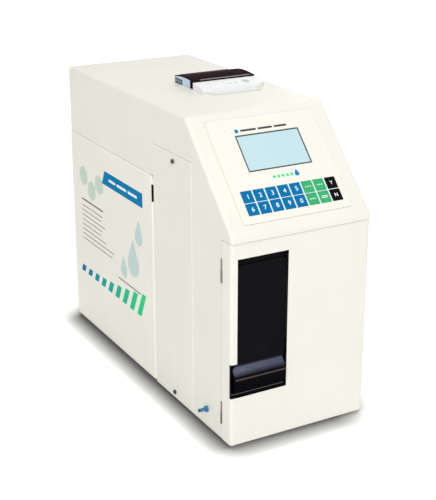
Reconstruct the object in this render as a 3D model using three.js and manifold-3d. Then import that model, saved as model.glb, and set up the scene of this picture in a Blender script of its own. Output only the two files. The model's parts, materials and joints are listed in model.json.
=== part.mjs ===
// Desktop electrolyte analyzer with a sloped console, a hinged front door, a black sampler with a nose,
// a panel printer in the top and a reagent pack that slides into the left side.
// Millimetres. X runs right, Y back from the face of the door, Z up from the foot of the housing.

import * as THREE from "three";
import { mergeVertices } from "three/addons/utils/BufferGeometryUtils.js";
import Module from "manifold-3d";

const wasm = await Module();
wasm.setup();

// Overall sizes
const width = 165;
const depth = 398.3;
const height = 324.9;
const gap = 0.3; // between pieces that seat on each other
const overrun = 6; // how far a cutter passes the face that it cuts
const sink = 0.4; // how far joined shapes of one piece reach into each other
const weld = 0.001; // vertices closer than this are one

// Housing: a moulded shell, open below
const housingWall = 2.2;
const housingEdge = 3;
const rearTopRadius = 5;
const slopeTopY = 94.2;
const slopeTopRadius = 4;
const slopeFootY = 2.1;
const slopeDrop = 96.1; // from the top of the housing to the foot of the slope
const lipFrontY = -1.5;
const lipRadius = 11;
const frontFlange = 4; // left standing round the opening behind the door
const frontRail = 2;
const ventCount = 6;
const ventPitch = 8;
const ventHeight = 3;
const ventWidth = 44;
const ventRise = 24; // above the rear opening

// Front door: a tray that hinges on its left rear edge
const doorDepth = 18.3;
const doorHeadDrop = 9.8; // below the foot of the slope
const doorDrop = 1;
const doorWall = 2;
const doorCornerRadius = 3.5;
const doorEdge = 1;
const doorSeam = 0.6;
const doorHeadSeam = 0.7;
const windowLeft = 7.5;
const windowWidth = 58.8;
const windowBottom = 52.8;
const windowDrop = 16; // below the top of the door
const notchTop = 91;
const notchDepth = 3.3;

// Hinges: a pin and knuckle on the housing, a knuckle on the door
const hingeLength = 25.6;
const hingeUpperDrop = 44.8; // below the top of the door
const hingeLowerZ = 17.2;
const knuckleRadius = 1.05;
const pinRadius = 0.4;
const hingeClearance = 0.4;
const hingeLeaf = 1.2;
const hingeLeafLength = 15;

// Door catch: a magnet on the housing and a strike on the door
const catchWidth = 8.7;
const catchHeight = 24;
const catchDepth = 11;
const catchZ = 100;
const strikeHeight = 14;

// Side cover and its screws
const coverFrontY = 80;
const coverLength = 88.2;
const coverDrop = 43.5; // below the top of the housing
const coverWall = 2;
const coverProud = 0.5;
const coverEdge = 0.8;
const coverTopSeam = 0.5;
const coverSideSeam = 0.3;
const screwHeadRadius = 2.5;
const screwHeadHeight = 1.4;
const screwShankRadius = 1.3;
const screwShankLength = 6;
const screwSlotWidth = 0.7;
const screwSlotDepth = 0.7;
const upperScrewY = 119.9;
const upperScrewDrop = 7.9; // below the top of the cover
const lowerScrewY = 121.5;
const lowerScrewZ = 7.5;
const tabWidth = 24;
const tabHeight = 15;
const tabWall = 1.2;

// Reagent pack and the slot that a finger pulls
const electronicsWidth = 68.5; // from the pack to the right side of the housing
const packProud = 1.5;
const packLift = 1;
const packDrop = 79.9; // below the top of the housing
const packSeam = 0.7;
const packTopSeam = 0.5;
const packWall = 2.5;
const packEdge = 2.5;
const packCornerRadius = 3.5;
const packFrontTopRadius = 8;
const gripWidth = 3.5;
const gripLength = 19;
const gripDrop = 29; // foot of the slot below the top of the pack
const gripDepth = 8;

// Pack ports and the connector that feeds them
const portCount = 5;
const portPitch = 9;
const portRadius = 2.4;
const spikeRadius = 1.5;
const spikeLength = 8.5; // inside the pack
const spikeHoleRadius = 2.1;
const connectorDepth = 10;
const connectorHeight = 16;
const connectorInset = 19.1; // first spike behind the front of the pack
const connectorDrop = 87; // below the top of the pack

// Chassis: floor, bulkhead and the walls of the pack bay, bent from sheet
const sheet = 1.2;
const floorDrop = 0.5;
const bulkheadY = 77.7;
const bulkheadDrop = 2; // below the top of the door
const standoffRadius = 2.5;

// Feet
const footRadius = 8;
const footTopRadius = 7;
const footHeight = 3.5;
const footInset = 18;

// Sampler: frame, raised black panel and wedge-shaped nose
const samplerLeft = 4.4;
const samplerRight = 67;
const samplerBottom = 49;
const samplerOverlap = 3; // above the top of the window
const samplerWall = 2;
const samplerFaceY = 5.5;
const samplerFaceWall = 2.5;
const panelLeft = 10.5;
const panelRight = 65.5;
const panelBottom = 87.9;
const panelDrop = 8.3; // below the top of the window
const panelProud = 2.5;
const panelRadius = 5;
const noseLeft = 2.6;
const noseRight = 63;
const noseBottom = 53.3;
const noseRidgeZ = 57;
const noseRidgeY = 0;
const noseLipY = 0.4;
const noseCreaseY = -6;
const noseCreaseZ = 76;
const noseCreaseRadius = 2.5;
const noseBrowY = 2.7;
const noseBrowZ = 85.5;
const noseEdge = 0.6;
const cheekLeft = 0.3;
const cheekWidth = 4;
const cheekFrontY = 0.3;
const cheekThickness = 2.4;

// Sample probe, which slides down and forward out of the nose on a rail
const probeTilt = 35; // degrees from upright
const probeX = 32.8;
const probeExitZ = 61;
const probeRadius = 1;
const probeBoreRadius = 1.6;
const probeHidden = 1.5;
const probeLength = 78;
const probeTravel = 32;
const hubHalfWidth = 6;
const hubFront = 6;
const hubBack = 14.6;
const hubBottom = 62;
const hubLength = 20;
const railSize = 5;
const railFront = 6.6;
const railBottom = 18;
const railTop = 112;
const railFootHeight = 10;
const railHeadHeight = 12;

// Electrode holder, the electrodes and the latch that squeezes them
const electrodeWidth = 36.6;
const electrodeHeight = 22;
const electrodeDepth = 30.7;
const electrodeFrontY = 41;
const electrodeBossRadius = 7;
const electrodeBossDepth = 2.5;
const flowRadius = 0.9;
const flowInset = 9;
const holderWall = 5.7;
const holderBottom = 84;
const holderLedge = 4;
const holderFrontY = 44;
const latchThickness = 5;
const latchPivotY = 70;
const latchPivotRise = 7.5; // above the underside of the latch
const latchKnuckleRadius = 4.2;
const latchPinRadius = 1.5;
const latchPinLength = 4;
const latchFrontY = 36;
const latchRearY = 66;
const latchEar = 6;

// Solution valve, behind the bulkhead
const valveLeft = 24;
const valveWidth = 30;
const valveBottom = 40;
const valveHeight = 32;
const valveDepth = 27;
const nippleCount = 3;
const nipplePitch = 10;
const nippleRadius = 1.75;
const nippleLength = 6;

// Peristaltic pump
const pumpMargin = 6.5; // to the inside of the right wall
const pumpZ = 45;
const pumpRadius = 22;
const pumpFrontY = 61;
const pumpBack = 2.4;
const rollerCount = 3;
const rollerRadius = 3.4;
const rollerOrbit = 11;
const rotorPlate = 1.8;
const rotorPlateRadius = 12;
const rotorHubRadius = 5;
const rotorFrontY = 63;
const rotorRearY = 74.6;
const knobRadius = 4;
const knobLength = 3;
const shaftRadius = 2;
const shaftReach = 11;
const shaftClearance = 0.3;
const motorRadius = 14;
const motorLength = 33;
const motorPlate = 2;
const motorPlateSize = 32;
const trackFirst = 50; // degrees round the rotor
const trackStep = 20.5;
const trackPoints = 11;
const tubeRadius = 2;
const tubeSides = 8;

// Waste port on the left side
const wastePortY = 49;
const wastePortZ = 20.4;
const wasteFlangeRadius = 3.4;
const wasteFlange = 2.3;
const wasteStubRadius = 1.9;
const wasteStubLength = 7.9;
const wasteShankRadius = 1.8;
const wasteShankLength = 9.3;
const wasteBoreRadius = 1.1;
const wasteClearance = 0.4;

// Console panel with the display and sixteen keys, measured down the slope from its top edge
const consoleLeft = 18.5;
const consoleRight = 18; // margin to the right side
const consoleTop = 8.1;
const consoleBottom = 7.1; // margin to the foot of the slope
const consoleThickness = 5;
const consoleProud = 0.6;
const consoleRadius = 3;
const consoleEdge = 0.4;
const displayWidth = 73;
const displayHeight = 39.9;
const displayShift = 1.2;
const displayDrop = 21.6; // below the top of the panel
const displayRim = 1;
const displayThickness = 1.3;
const moduleMarginX = 4.8;
const moduleMarginY = 4.8;
const moduleThickness = 9;
const keyColumns = 8;
const keyRows = 2;
const keyLeftInset = 9.2;
const keyRightInset = 7.8;
const keyBottomInset = 8.8;
const keyHeight = 12.8;
const keyGap = 2;
const keyRowGap = 1.3;
const keyThickness = 2;
const keyProud = 0.3;
const keyRadius = 0.8;
const keyEdge = 0.3;
const keyTravel = 0.4;
const keyPocketClearance = 0.1;

// Printer, measured up from the top of the housing
const printerWidth = 78;
const printerRight = 18; // margin to the right side
const apronLeftMargin = 1.5; // beyond the lid
const apronRightMargin = 3.5;
const apronFrontY = 180;
const apronDepth = 22.5;
const apronFrontHeight = 4.4;
const apronRearHeight = 8.1;
const apronLeftRadius = 1.5;
const apronRightRadius = 12;
const apronRound = 2;
const flangeFrontY = 168; // a thin flange lies in front of the apron
const flangeInset = 7;
const flangeRightInset = 12;
const flangeHeight = 0.8;
const wellInsetX = 4.3;
const wellFrontY = 190;
const wellRearY = 253.5;
const wellDepth = 44;
const wellWall = 2;
const wellRise = 4.7;
const rollLength = 58;
const rollRadius = 14.5;
const rollBoreRadius = 5.5;
const rollY = 232.5;
const rollDrop = 8;
const rollHubClearance = 0.5;
const rollHubOverlap = 6;
const platenRadius = 4;
const platenY = 214.6;
const platenRise = 1.5;
const platenPinRadius = 1.5;
const platenPinLength = 1.8;
const lidFrontY = 203;
const lidRearY = 249;
const lidFrontRise = 9.3;
const lidCrownY = 228;
const lidCrownRise = 10.9;
const lidRearRise = 8;
const lidWall = 1.2;
const lidAxisY = 252.2;
const lidAxisRise = 5.2;
const lidBarrelRadius = 2.2;
const lidPinRadius = 1;
const lidPinLength = 3.5;
const lidEar = 3;
const lidLegY = 203.6;
const lidLegDepth = 8.2;
const lidLegRise = 0.6;
const lidLegWidth = 3;
const endCapFrontY = 212.4;
const endCapDepth = 36.2;
const endCapWidth = 3.9;
const endVentCount = 3;
const endVentPitch = 5.6;
const endVentWidth = 4.4;
const endVentDepth = 1.4;
const endVentMargin = 1.6;
const feedInset = 18.7; // from the right side of the lid
const feedY = 191.8;
const feedRadius = 4;
const feedTop = 6;
const feedFloor = 1.2;
const feedLift = 1;

// Electronics: board, supply, rear plate, inlet and rocker
const boardOffset = 14.5; // from the bay wall
const boardThickness = 1.6;
const boardFrontGap = 31.1; // behind the front of the pack
const boardRearGap = 17.8; // in front of the rear plate
const boardBottom = 110;
const boardDrop = 15; // below the top of the pack
const boardHoleInset = 12;
const serialWidth = 11;
const serialHeight = 31;
const serialRise = 40; // above the foot of the board
const serialReach = 2.4;
const serialShell = 8;
const chipHeight = 3;
const chipSize = 24;
const chipCount = 3;
const supplyMargin = 4.5; // to the inside of the right wall
const supplyOffset = 6; // from the bay wall
const supplyFrontGap = 31.1; // behind the front of the pack
const supplyRearGap = 39.1; // in front of the inlet
const supplyHeight = 45;
const terminalSize = 12;
const rearOpeningRight = 9; // margin to the right side
const rearOpeningWidth = 44;
const rearOpeningBottom = 28;
const rearOpeningRise = 11; // above the serial connector
const plateMargin = 4;
const plateThickness = 1.8;
const inletWidth = 26;
const inletBottom = 34;
const inletHeight = 50;
const inletDepth = 30;
const inletFlange = 3;
const inletFlangeMargin = 4.5;
const socketWidth = 24;
const socketHeight = 16.5;
const socketRise = 4;
const socketDepth = 17;
const bladeWidth = 2;
const bladeHeight = 4;
const bladeLength = 11;
const bladePitch = 7;
const rockerWidth = 15;
const rockerHalf = 7.9;
const rockerRise = 37; // axis above the foot of the inlet
const rockerCrest = 4.5;
const rockerValley = 2.2;
const rockerBack = 4;
const rockerAxisInset = 4; // axis in front of the flange face
const rockerTilt = 10; // degrees each way
const rockerRecess = 9.5;
const rockerRecessDepth = 13;
const rockerPinRadius = 1;
const rockerPinLength = 2;

// Facets
const arcSteps = 5;
const bevelSteps = 3;
const keySteps = 2;
const tubeSteps = 44;
const roundSides = 24;
const smallSides = 12;

// Places that follow from the sizes above
const slopeFootZ = height - slopeDrop;
const doorTop = slopeFootZ - doorHeadDrop;
const windowTop = doorTop - windowDrop;
const hingeUpperZ = doorTop - hingeUpperDrop;
const bulkheadTop = doorTop - bulkheadDrop;
const samplerTop = windowTop + samplerOverlap;
const panelTop = windowTop - panelDrop;
const coverHeight = height - coverDrop;
const packTop = height - packDrop;
const gripBottomZ = packTop - gripDrop;
const housingFrontY = doorDepth + doorSeam;
const ledgeZ = doorTop + doorHeadSeam;
const hingeAxisY = doorDepth + doorSeam / 2;
const slopeRise = height - slopeFootZ;
const slopeRun = slopeTopY - slopeFootY;
const slopeLength = Math.hypot(slopeRise, slopeRun);
const lipTopZ = slopeFootZ + ((lipFrontY - slopeFootY) * slopeRise) / slopeRun;
const packFrontY = coverFrontY + coverLength + packSeam;
const packRearY = depth - housingWall - gap;
const packRightX = width - electronicsWidth;
const connectorY = packFrontY + connectorInset;
const connectorZ = packTop - connectorDrop;
const bayWallX = packRightX + gap;
const floorTop = packLift - gap;
const insideLeft = housingWall + gap;
const insideRight = width - housingWall - gap;
const footTopZ = -floorDrop - gap;
const serviceY = bulkheadY - gap; // rear face of what stands on the bulkhead
const electrodePitch = electrodeHeight + gap;
const holderMiddle = (samplerRight + insideRight) / 2;
const holderLeft = holderMiddle - electrodeWidth / 2 - gap - holderWall;
const holderRight = holderMiddle + electrodeWidth / 2 + gap + holderWall;
const stackBottom = holderBottom + holderLedge + gap;
const stackTop = stackBottom + 4 * electrodePitch - gap;
const latchBottom = stackTop + gap;
const latchPivotZ = latchBottom + latchPivotRise;
const pumpX = insideRight - pumpMargin - pumpRadius;
const trackRadius = rollerOrbit + rollerRadius + gap + tubeRadius;
const printerRightX = width - printerRight;
const printerLeft = printerRightX - printerWidth;
const feedX = printerRightX - feedInset;
const wellLeft = printerLeft + wellInsetX;
const wellRight = printerRightX - wellInsetX;
const plateRearY = depth - housingWall - gap;
const inletFace = plateRearY + gap + inletFlange;
const boardFrontY = packFrontY + boardFrontGap;
const boardRearY = plateRearY - boardRearGap;
const boardTop = packTop - boardDrop;
const serialBottom = boardBottom + serialRise;
const supplyLeft = bayWallX + sheet + supplyOffset;
const supplyRight = insideRight - supplyMargin;
const supplyFrontY = packFrontY + supplyFrontGap;
const supplyRearY = inletFace - inletDepth - supplyRearGap;
const rearOpeningLeft = width - rearOpeningRight - rearOpeningWidth;
const rearOpeningTop = serialBottom + serialHeight + rearOpeningRise;
const ventBottomZ = rearOpeningTop + ventRise;
const inletMiddle = rearOpeningLeft + rearOpeningWidth / 2;

// Turning three.js geometry into solids that can be joined and cut

function solidOf(geometry, matrix) {
  const flat = geometry.index ? geometry.toNonIndexed() : geometry;
  const bare = new THREE.BufferGeometry();
  bare.setAttribute("position", flat.getAttribute("position").clone());
  if (matrix) bare.applyMatrix4(matrix);
  const merged = mergeVertices(bare, weld);
  return new wasm.Manifold(
    new wasm.Mesh({
      numProp: 3,
      vertProperties: merged.getAttribute("position").array,
      triVerts: new Uint32Array(merged.index.array),
    }),
  );
}

function geometryOf(solid) {
  const { numProp, vertProperties, triVerts } = solid.getMesh();
  const positions = new Float32Array(triVerts.length * 3);
  triVerts.forEach((vertex, i) => {
    positions.set(vertProperties.subarray(vertex * numProp, vertex * numProp + 3), i * 3);
  });
  const geometry = new THREE.BufferGeometry();
  geometry.setAttribute("position", new THREE.BufferAttribute(positions, 3));
  geometry.computeVertexNormals();
  return geometry;
}

const join = (...solids) => solids.flat().reduce((a, b) => a.add(b));
const cut = (body, ...tools) => tools.flat().reduce((a, b) => a.subtract(b), body);
const count = (n) => Array.from({ length: n }, (_, i) => i);

// Corners are [u, v] or [u, v, radius], counter-clockwise.
function roundedOutline(corners, steps = arcSteps) {
  const at = (i) => new THREE.Vector2(...corners[(i + corners.length) % corners.length]);
  return corners.flatMap(([, , radius = 0], i) => {
    const here = at(i);
    if (radius === 0) return [here];
    const before = at(i - 1).sub(here).normalize();
    const after = at(i + 1).sub(here).normalize();
    const half = Math.acos(before.dot(after)) / 2;
    const inward = before.clone().add(after).normalize();
    const centre = here.clone().addScaledVector(inward, radius / Math.sin(half));
    const first = here.clone().addScaledVector(before, radius / Math.tan(half)).sub(centre).angle();
    const last = here.clone().addScaledVector(after, radius / Math.tan(half)).sub(centre).angle();
    const sweep = THREE.MathUtils.euclideanModulo(last - first + Math.PI, 2 * Math.PI) - Math.PI;
    return count(steps + 1).map((k) => {
      const angle = first + (sweep * k) / steps;
      return new THREE.Vector2(Math.cos(angle), Math.sin(angle)).multiplyScalar(radius).add(centre);
    });
  });
}

const rectangle = ([u0, u1], [v0, v1], radius = 0, steps = arcSteps) =>
  roundedOutline(
    [
      [u0, v0, radius],
      [u1, v0, radius],
      [u1, v1, radius],
      [u0, v1, radius],
    ],
    steps,
  );

// The same convex outline, drawn in by a distance on every side.
function insetCorners(corners, distance) {
  const direction = (i) => {
    const a = corners[(i + corners.length) % corners.length];
    const b = corners[(i + 1 + corners.length) % corners.length];
    return new THREE.Vector2(b[0] - a[0], b[1] - a[1]).normalize();
  };
  return corners.map(([u, v, radius = 0], i) => {
    const before = direction(i - 1);
    const after = direction(i);
    const share = distance / (1 + before.dot(after));
    return [
      u - (before.y + after.y) * share,
      v + (before.x + after.x) * share,
      Math.max(radius - distance, 0),
    ];
  });
}

const X = new THREE.Vector3(1, 0, 0);
const Y = new THREE.Vector3(0, 1, 0);
const Z = new THREE.Vector3(0, 0, 1);

// A prism along an axis. Its outline lies in YZ, XZ or XY, and its end edges can be rounded.
function prism(axis, points, [from, to], edge = 0, steps = bevelSteps) {
  const geometry = new THREE.ExtrudeGeometry(new THREE.Shape(points), {
    depth: to - from - 2 * edge,
    bevelEnabled: edge > 0,
    bevelThickness: edge,
    bevelSize: edge,
    bevelOffset: -edge,
    bevelSegments: steps,
  });
  const matrix = new THREE.Matrix4();
  if (axis === "x") matrix.makeBasis(Y, Z, X).setPosition(from + edge, 0, 0);
  if (axis === "y") matrix.makeBasis(X, Z, Y.clone().negate()).setPosition(0, to - edge, 0);
  if (axis === "z") matrix.setPosition(0, 0, from + edge);
  return solidOf(geometry, matrix);
}

function box([x0, x1], [y0, y1], [z0, z1]) {
  const geometry = new THREE.BoxGeometry(x1 - x0, y1 - y0, z1 - z0);
  return solidOf(geometry.translate((x0 + x1) / 2, (y0 + y1) / 2, (z0 + z1) / 2));
}

// A round bar along an axis through a centre given by its other two coordinates, in X, Y, Z order.
function rod(axis, [a, b], radius, [from, to], sides = roundSides) {
  const geometry = new THREE.CylinderGeometry(radius, radius, to - from, sides);
  const middle = (from + to) / 2;
  if (axis === "x") geometry.rotateZ(Math.PI / 2).translate(middle, a, b);
  if (axis === "y") geometry.translate(a, middle, b);
  if (axis === "z") geometry.rotateX(Math.PI / 2).translate(a, b, middle);
  return solidOf(geometry);
}

// A slot with round ends, cut along X.
function slotX(y, [z0, z1], slotWidth, span) {
  const radius = slotWidth / 2;
  return join(
    box(span, [y - radius, y + radius], [z0 + radius, z1 - radius]),
    rod("x", [y, z0 + radius], radius, span, smallSides),
    rod("x", [y, z1 - radius], radius, span, smallSides),
  );
}

// Finishes
const finish = (color, roughness, metalness = 0) =>
  new THREE.MeshStandardMaterial({ color, roughness, metalness });
const cream = () => finish(0xeceadf, 0.45);
const ivory = () => finish(0xfbf9ef, 0.4);
const black = () => finish(0x1c1b20, 0.25);
const white = () => finish(0xf2f1ee, 0.4);
const steel = () => finish(0xb4b6b8, 0.35, 0.9);
const darkSteel = () => finish(0x4a4a4c, 0.4, 0.8);
const rubber = () => finish(0x232323, 0.9);

function piece(name, solid, material) {
  const mesh = new THREE.Mesh(geometryOf(solid), material);
  mesh.name = name;
  return mesh;
}

// Puts pieces in a group that is moved and turned as one.
function assembly(pieces, position = [0, 0, 0], tiltX = 0) {
  const group = new THREE.Group();
  group.position.set(...position);
  group.rotation.x = tiltX;
  return group.add(...pieces);
}

// The console's own frame: its X runs right, its Y up the slope, its Z out of the slope.
const consoleTilt = Math.atan2(slopeRise, slopeRun);
const consoleMatrix = new THREE.Matrix4().makeRotationX(consoleTilt).setPosition(0, slopeTopY, height);
const consoleSpanX = [consoleLeft, width - consoleRight];
const consoleSpanY = [consoleBottom - slopeLength, -consoleTop];

// The probe's own frame: its origin is where the probe leaves the nose, its Z runs up the probe.
const probeAngle = THREE.MathUtils.degToRad(probeTilt);
const noseLean = (noseCreaseY - noseRidgeY) / (noseCreaseZ - noseRidgeZ);
const probeExitY = noseRidgeY + (probeExitZ - noseRidgeZ) * noseLean;
const probePosition = [probeX, probeExitY, probeExitZ];
const probeMatrix = new THREE.Matrix4().makeRotationX(-probeAngle).setPosition(...probePosition);

const moved = (geometryMatrix, solid) => solidOf(geometryOf(solid), geometryMatrix);

// Housing

function hingePockets() {
  return [hingeUpperZ, hingeLowerZ].flatMap((z) => [
    rod("z", [0, hingeAxisY], knuckleRadius + hingeClearance, [z - gap, z + hingeLength + gap], smallSides),
    box(
      [-overrun, insideLeft + hingeLeaf + gap],
      [hingeAxisY, housingFrontY + housingWall + gap],
      [z - gap, z + hingeLength / 2 + gap],
    ),
  ]);
}

function mainHousing() {
  const corners = [
    [lipFrontY, -overrun],
    [depth, -overrun],
    [depth, height, rearTopRadius],
    [slopeTopY, height, slopeTopRadius],
    [lipFrontY, lipTopZ, lipRadius],
  ];
  const everyX = [-overrun, width + overrun];
  const through = [-overrun, housingWall + gap];
  const beforeY = lipFrontY - overrun;
  const outer = prism("x", roundedOutline(corners), [0, width], housingEdge);
  const innerOutline = roundedOutline(insetCorners(corners, housingWall));
  const inner = prism("x", innerOutline, [housingWall, width - housingWall]);
  const cavity = cut(
    inner,
    box(everyX, [beforeY, housingFrontY + housingWall], [-2 * overrun, ledgeZ + housingWall]),
  );
  const consoleHole = rectangle(
    [consoleSpanX[0] - gap, consoleSpanX[1] + gap],
    [consoleSpanY[0] - gap, consoleSpanY[1] + gap],
    consoleRadius + gap,
  );
  const shell = cut(
    outer,
    box(everyX, [beforeY - overrun, housingFrontY], [-2 * overrun, ledgeZ]),
    box(everyX, [beforeY - overrun, depth + overrun], [-2 * overrun, 0]),
    cavity,
    box(
      [frontFlange, width - frontFlange],
      [housingFrontY - overrun, housingFrontY + housingWall + gap],
      [frontRail, ledgeZ - frontFlange],
    ),
    box(
      through,
      [coverFrontY - coverSideSeam, packFrontY - packSeam + coverSideSeam],
      [-overrun, coverHeight + coverTopSeam],
    ),
    box(through, [packFrontY - packSeam, depth - housingWall], [-overrun, packTop + packTopSeam]),
    moved(consoleMatrix, prism("z", consoleHole, [-consoleThickness - overrun, overrun])),
    box(
      [wellLeft - gap, wellRight + gap],
      [wellFrontY - gap, wellRearY + gap],
      [height - housingWall - overrun, height + overrun],
    ),
    box(
      [rearOpeningLeft, rearOpeningLeft + rearOpeningWidth],
      [depth - housingWall - overrun, depth + overrun],
      [rearOpeningBottom, rearOpeningTop],
    ),
    count(ventCount).map((i) =>
      box(
        [rearOpeningLeft, rearOpeningLeft + ventWidth],
        [depth - housingWall - overrun, depth + overrun],
        [ventBottomZ + i * ventPitch, ventBottomZ + i * ventPitch + ventHeight],
      ),
    ),
    rod("x", [wastePortY, wastePortZ], wasteShankRadius + wasteClearance, through, smallSides),
    hingePockets(),
  );
  const screwZ = coverHeight - upperScrewDrop;
  const tabLeft = coverWall - coverProud + gap;
  const tab = cut(
    box(
      [tabLeft, tabLeft + housingWall],
      [upperScrewY - tabWidth / 2, upperScrewY + tabWidth / 2],
      [screwZ - tabHeight / 2, coverHeight + coverTopSeam + tabHeight / 2],
    ),
    rod("x", [upperScrewY, screwZ], screwShankRadius + gap, [0, tabLeft + 2 * housingWall], smallSides),
  );
  return piece("main_housing", join(shell, tab), cream());
}

// Chassis: floor, bulkhead, the three walls of the pack bay, the lower screw tab and the board's standoffs

function innerChassis() {
  const rear = packRearY;
  const bayFront = packFrontY - gap - sheet;
  const bayTop = packTop + 2 * gap;
  const screwTab = box(
    [insideLeft, insideLeft + tabWall],
    [lowerScrewY - tabWidth / 2, lowerScrewY + tabWidth / 2],
    [floorTop - sink, floorTop + tabHeight],
  );
  const standoffs = [boardFrontY + boardHoleInset, boardRearY - boardHoleInset].flatMap((y) =>
    [boardBottom + boardHoleInset, boardTop - boardHoleInset].map((z) =>
      rod("x", [y, z], standoffRadius, [bayWallX + sheet - sink, bayWallX + boardOffset - gap], smallSides),
    ),
  );
  const body = join(
    box([insideLeft, insideRight], [housingFrontY + housingWall + gap, rear], [-floorDrop, floorTop]),
    box([insideLeft, insideRight], [bulkheadY, bulkheadY + sheet], [floorTop - sink, bulkheadTop]),
    box([insideLeft, bayWallX + sheet], [bayFront, bayFront + sheet], [floorTop - sink, bayTop + sheet]),
    box([bayWallX, bayWallX + sheet], [bayFront, rear], [floorTop - sink, bayTop + sheet]),
    box([insideLeft, bayWallX + sheet], [bayFront, rear], [bayTop, bayTop + sheet]),
    screwTab,
    standoffs,
  );
  const spikeHoles = spikePlaces().map((y) =>
    rod("x", [y, connectorZ], spikeHoleRadius, [bayWallX - overrun, bayWallX + overrun], smallSides),
  );
  const shaftHole = rod(
    "y",
    [pumpX, pumpZ],
    shaftRadius + shaftClearance * 3,
    [bulkheadY - overrun, bulkheadY + overrun],
    smallSides,
  );
  const screwHole = rod(
    "x",
    [lowerScrewY, lowerScrewZ],
    screwShankRadius + gap,
    [0, insideLeft + overrun],
    smallSides,
  );
  return piece("inner_chassis", cut(body, spikeHoles, shaftHole, screwHole), steel());
}

function feet() {
  const profile = [
    [0, -footHeight],
    [footRadius, -footHeight],
    [footTopRadius, 0],
    [0, 0],
  ].map(([r, z]) => new THREE.Vector2(r, z));
  const ys = { front: footInset + housingFrontY, rear: depth - footInset - housingWall };
  const xs = { left: footInset, right: width - footInset };
  return Object.entries(ys).flatMap(([end, y]) =>
    Object.entries(xs).map(([side, x]) => {
      const lathe = new THREE.LatheGeometry(profile, roundSides).rotateX(Math.PI / 2);
      const foot = piece(`foot_${end}_${side}`, solidOf(lathe), rubber());
      foot.position.set(x, y, footTopZ);
      return foot;
    }),
  );
}

// Side cover and screws

function sideCover() {
  const spanY = [coverFrontY, coverFrontY + coverLength];
  const outline = rectangle(spanY, [0, coverHeight]);
  const plate = prism("x", outline, [-coverProud, coverWall + overrun], coverEdge);
  const holes = [
    [upperScrewY, coverHeight - upperScrewDrop],
    [lowerScrewY, lowerScrewZ],
  ].map((place) =>
    rod("x", place, screwShankRadius + 2 * gap, [-coverProud - overrun, coverWall + overrun], smallSides),
  );
  const everyY = [spanY[0] - overrun, spanY[1] + overrun];
  return piece(
    "side_cover",
    cut(
      plate,
      box([coverWall - coverProud, coverWall + 2 * overrun], everyY, [-overrun, coverHeight + overrun]),
      gripSlot(),
      holes,
    ),
    cream(),
  );
}

function gripSlot() {
  const y = packFrontY - packSeam / 2;
  const span = [-packProud - overrun, gripDepth - packProud];
  return slotX(y, [gripBottomZ, gripBottomZ + gripLength], gripWidth, span);
}

function coverScrew(name, y, z) {
  const headEnd = -coverProud - gap;
  const headStart = headEnd - screwHeadHeight;
  const slotSpan = [headStart - overrun, headStart + screwSlotDepth];
  const arm = screwHeadRadius - screwSlotWidth;
  const half = screwSlotWidth / 2;
  const screw = cut(
    join(
      rod("x", [0, 0], screwHeadRadius, [headStart, headEnd]),
      rod("x", [0, 0], screwShankRadius, [headStart + sink, headEnd + screwShankLength], smallSides),
    ),
    box(slotSpan, [-arm, arm], [-half, half]),
    box(slotSpan, [-half, half], [-arm, arm]),
  );
  const mesh = piece(name, screw, darkSteel());
  mesh.position.set(0, y, z);
  return mesh;
}

// Reagent pack, and the connector whose spikes reach into it

function spikePlaces() {
  return count(portCount).map((i) => connectorY + i * portPitch);
}

function reagentPack() {
  const spanX = [-packProud, packRightX];
  const outline = roundedOutline([
    [packFrontY, packLift, packCornerRadius],
    [packRearY, packLift, packCornerRadius],
    [packRearY, packTop, packCornerRadius],
    [packFrontY, packTop, packFrontTopRadius],
  ]);
  const hollow = box(
    [spanX[0] + packWall, spanX[1] - packWall],
    [packFrontY + packWall, packRearY - packWall],
    [packLift + packWall, packTop - packWall],
  );
  const ports = spikePlaces().map((y) =>
    rod("x", [y, connectorZ], portRadius, [spanX[1] - packWall - overrun, spanX[1] + overrun], smallSides),
  );
  const shell = prism("x", outline, spanX, packEdge);
  return piece("reagent_pack", cut(shell, hollow, ports, gripSlot()), ivory());
}

function reagentConnector() {
  const start = bayWallX + sheet + gap;
  const ys = spikePlaces();
  const margin = portPitch / 2;
  const block = box(
    [start, start + connectorDepth],
    [ys[0] - margin, ys[ys.length - 1] + margin],
    [connectorZ - connectorHeight / 2, connectorZ + connectorHeight / 2],
  );
  const spikes = ys.map((y) =>
    rod("x", [y, connectorZ], spikeRadius, [packRightX - spikeLength, start + sink], smallSides),
  );
  return piece("reagent_connector", join(block, spikes), white());
}

// Front door and hinges

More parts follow.
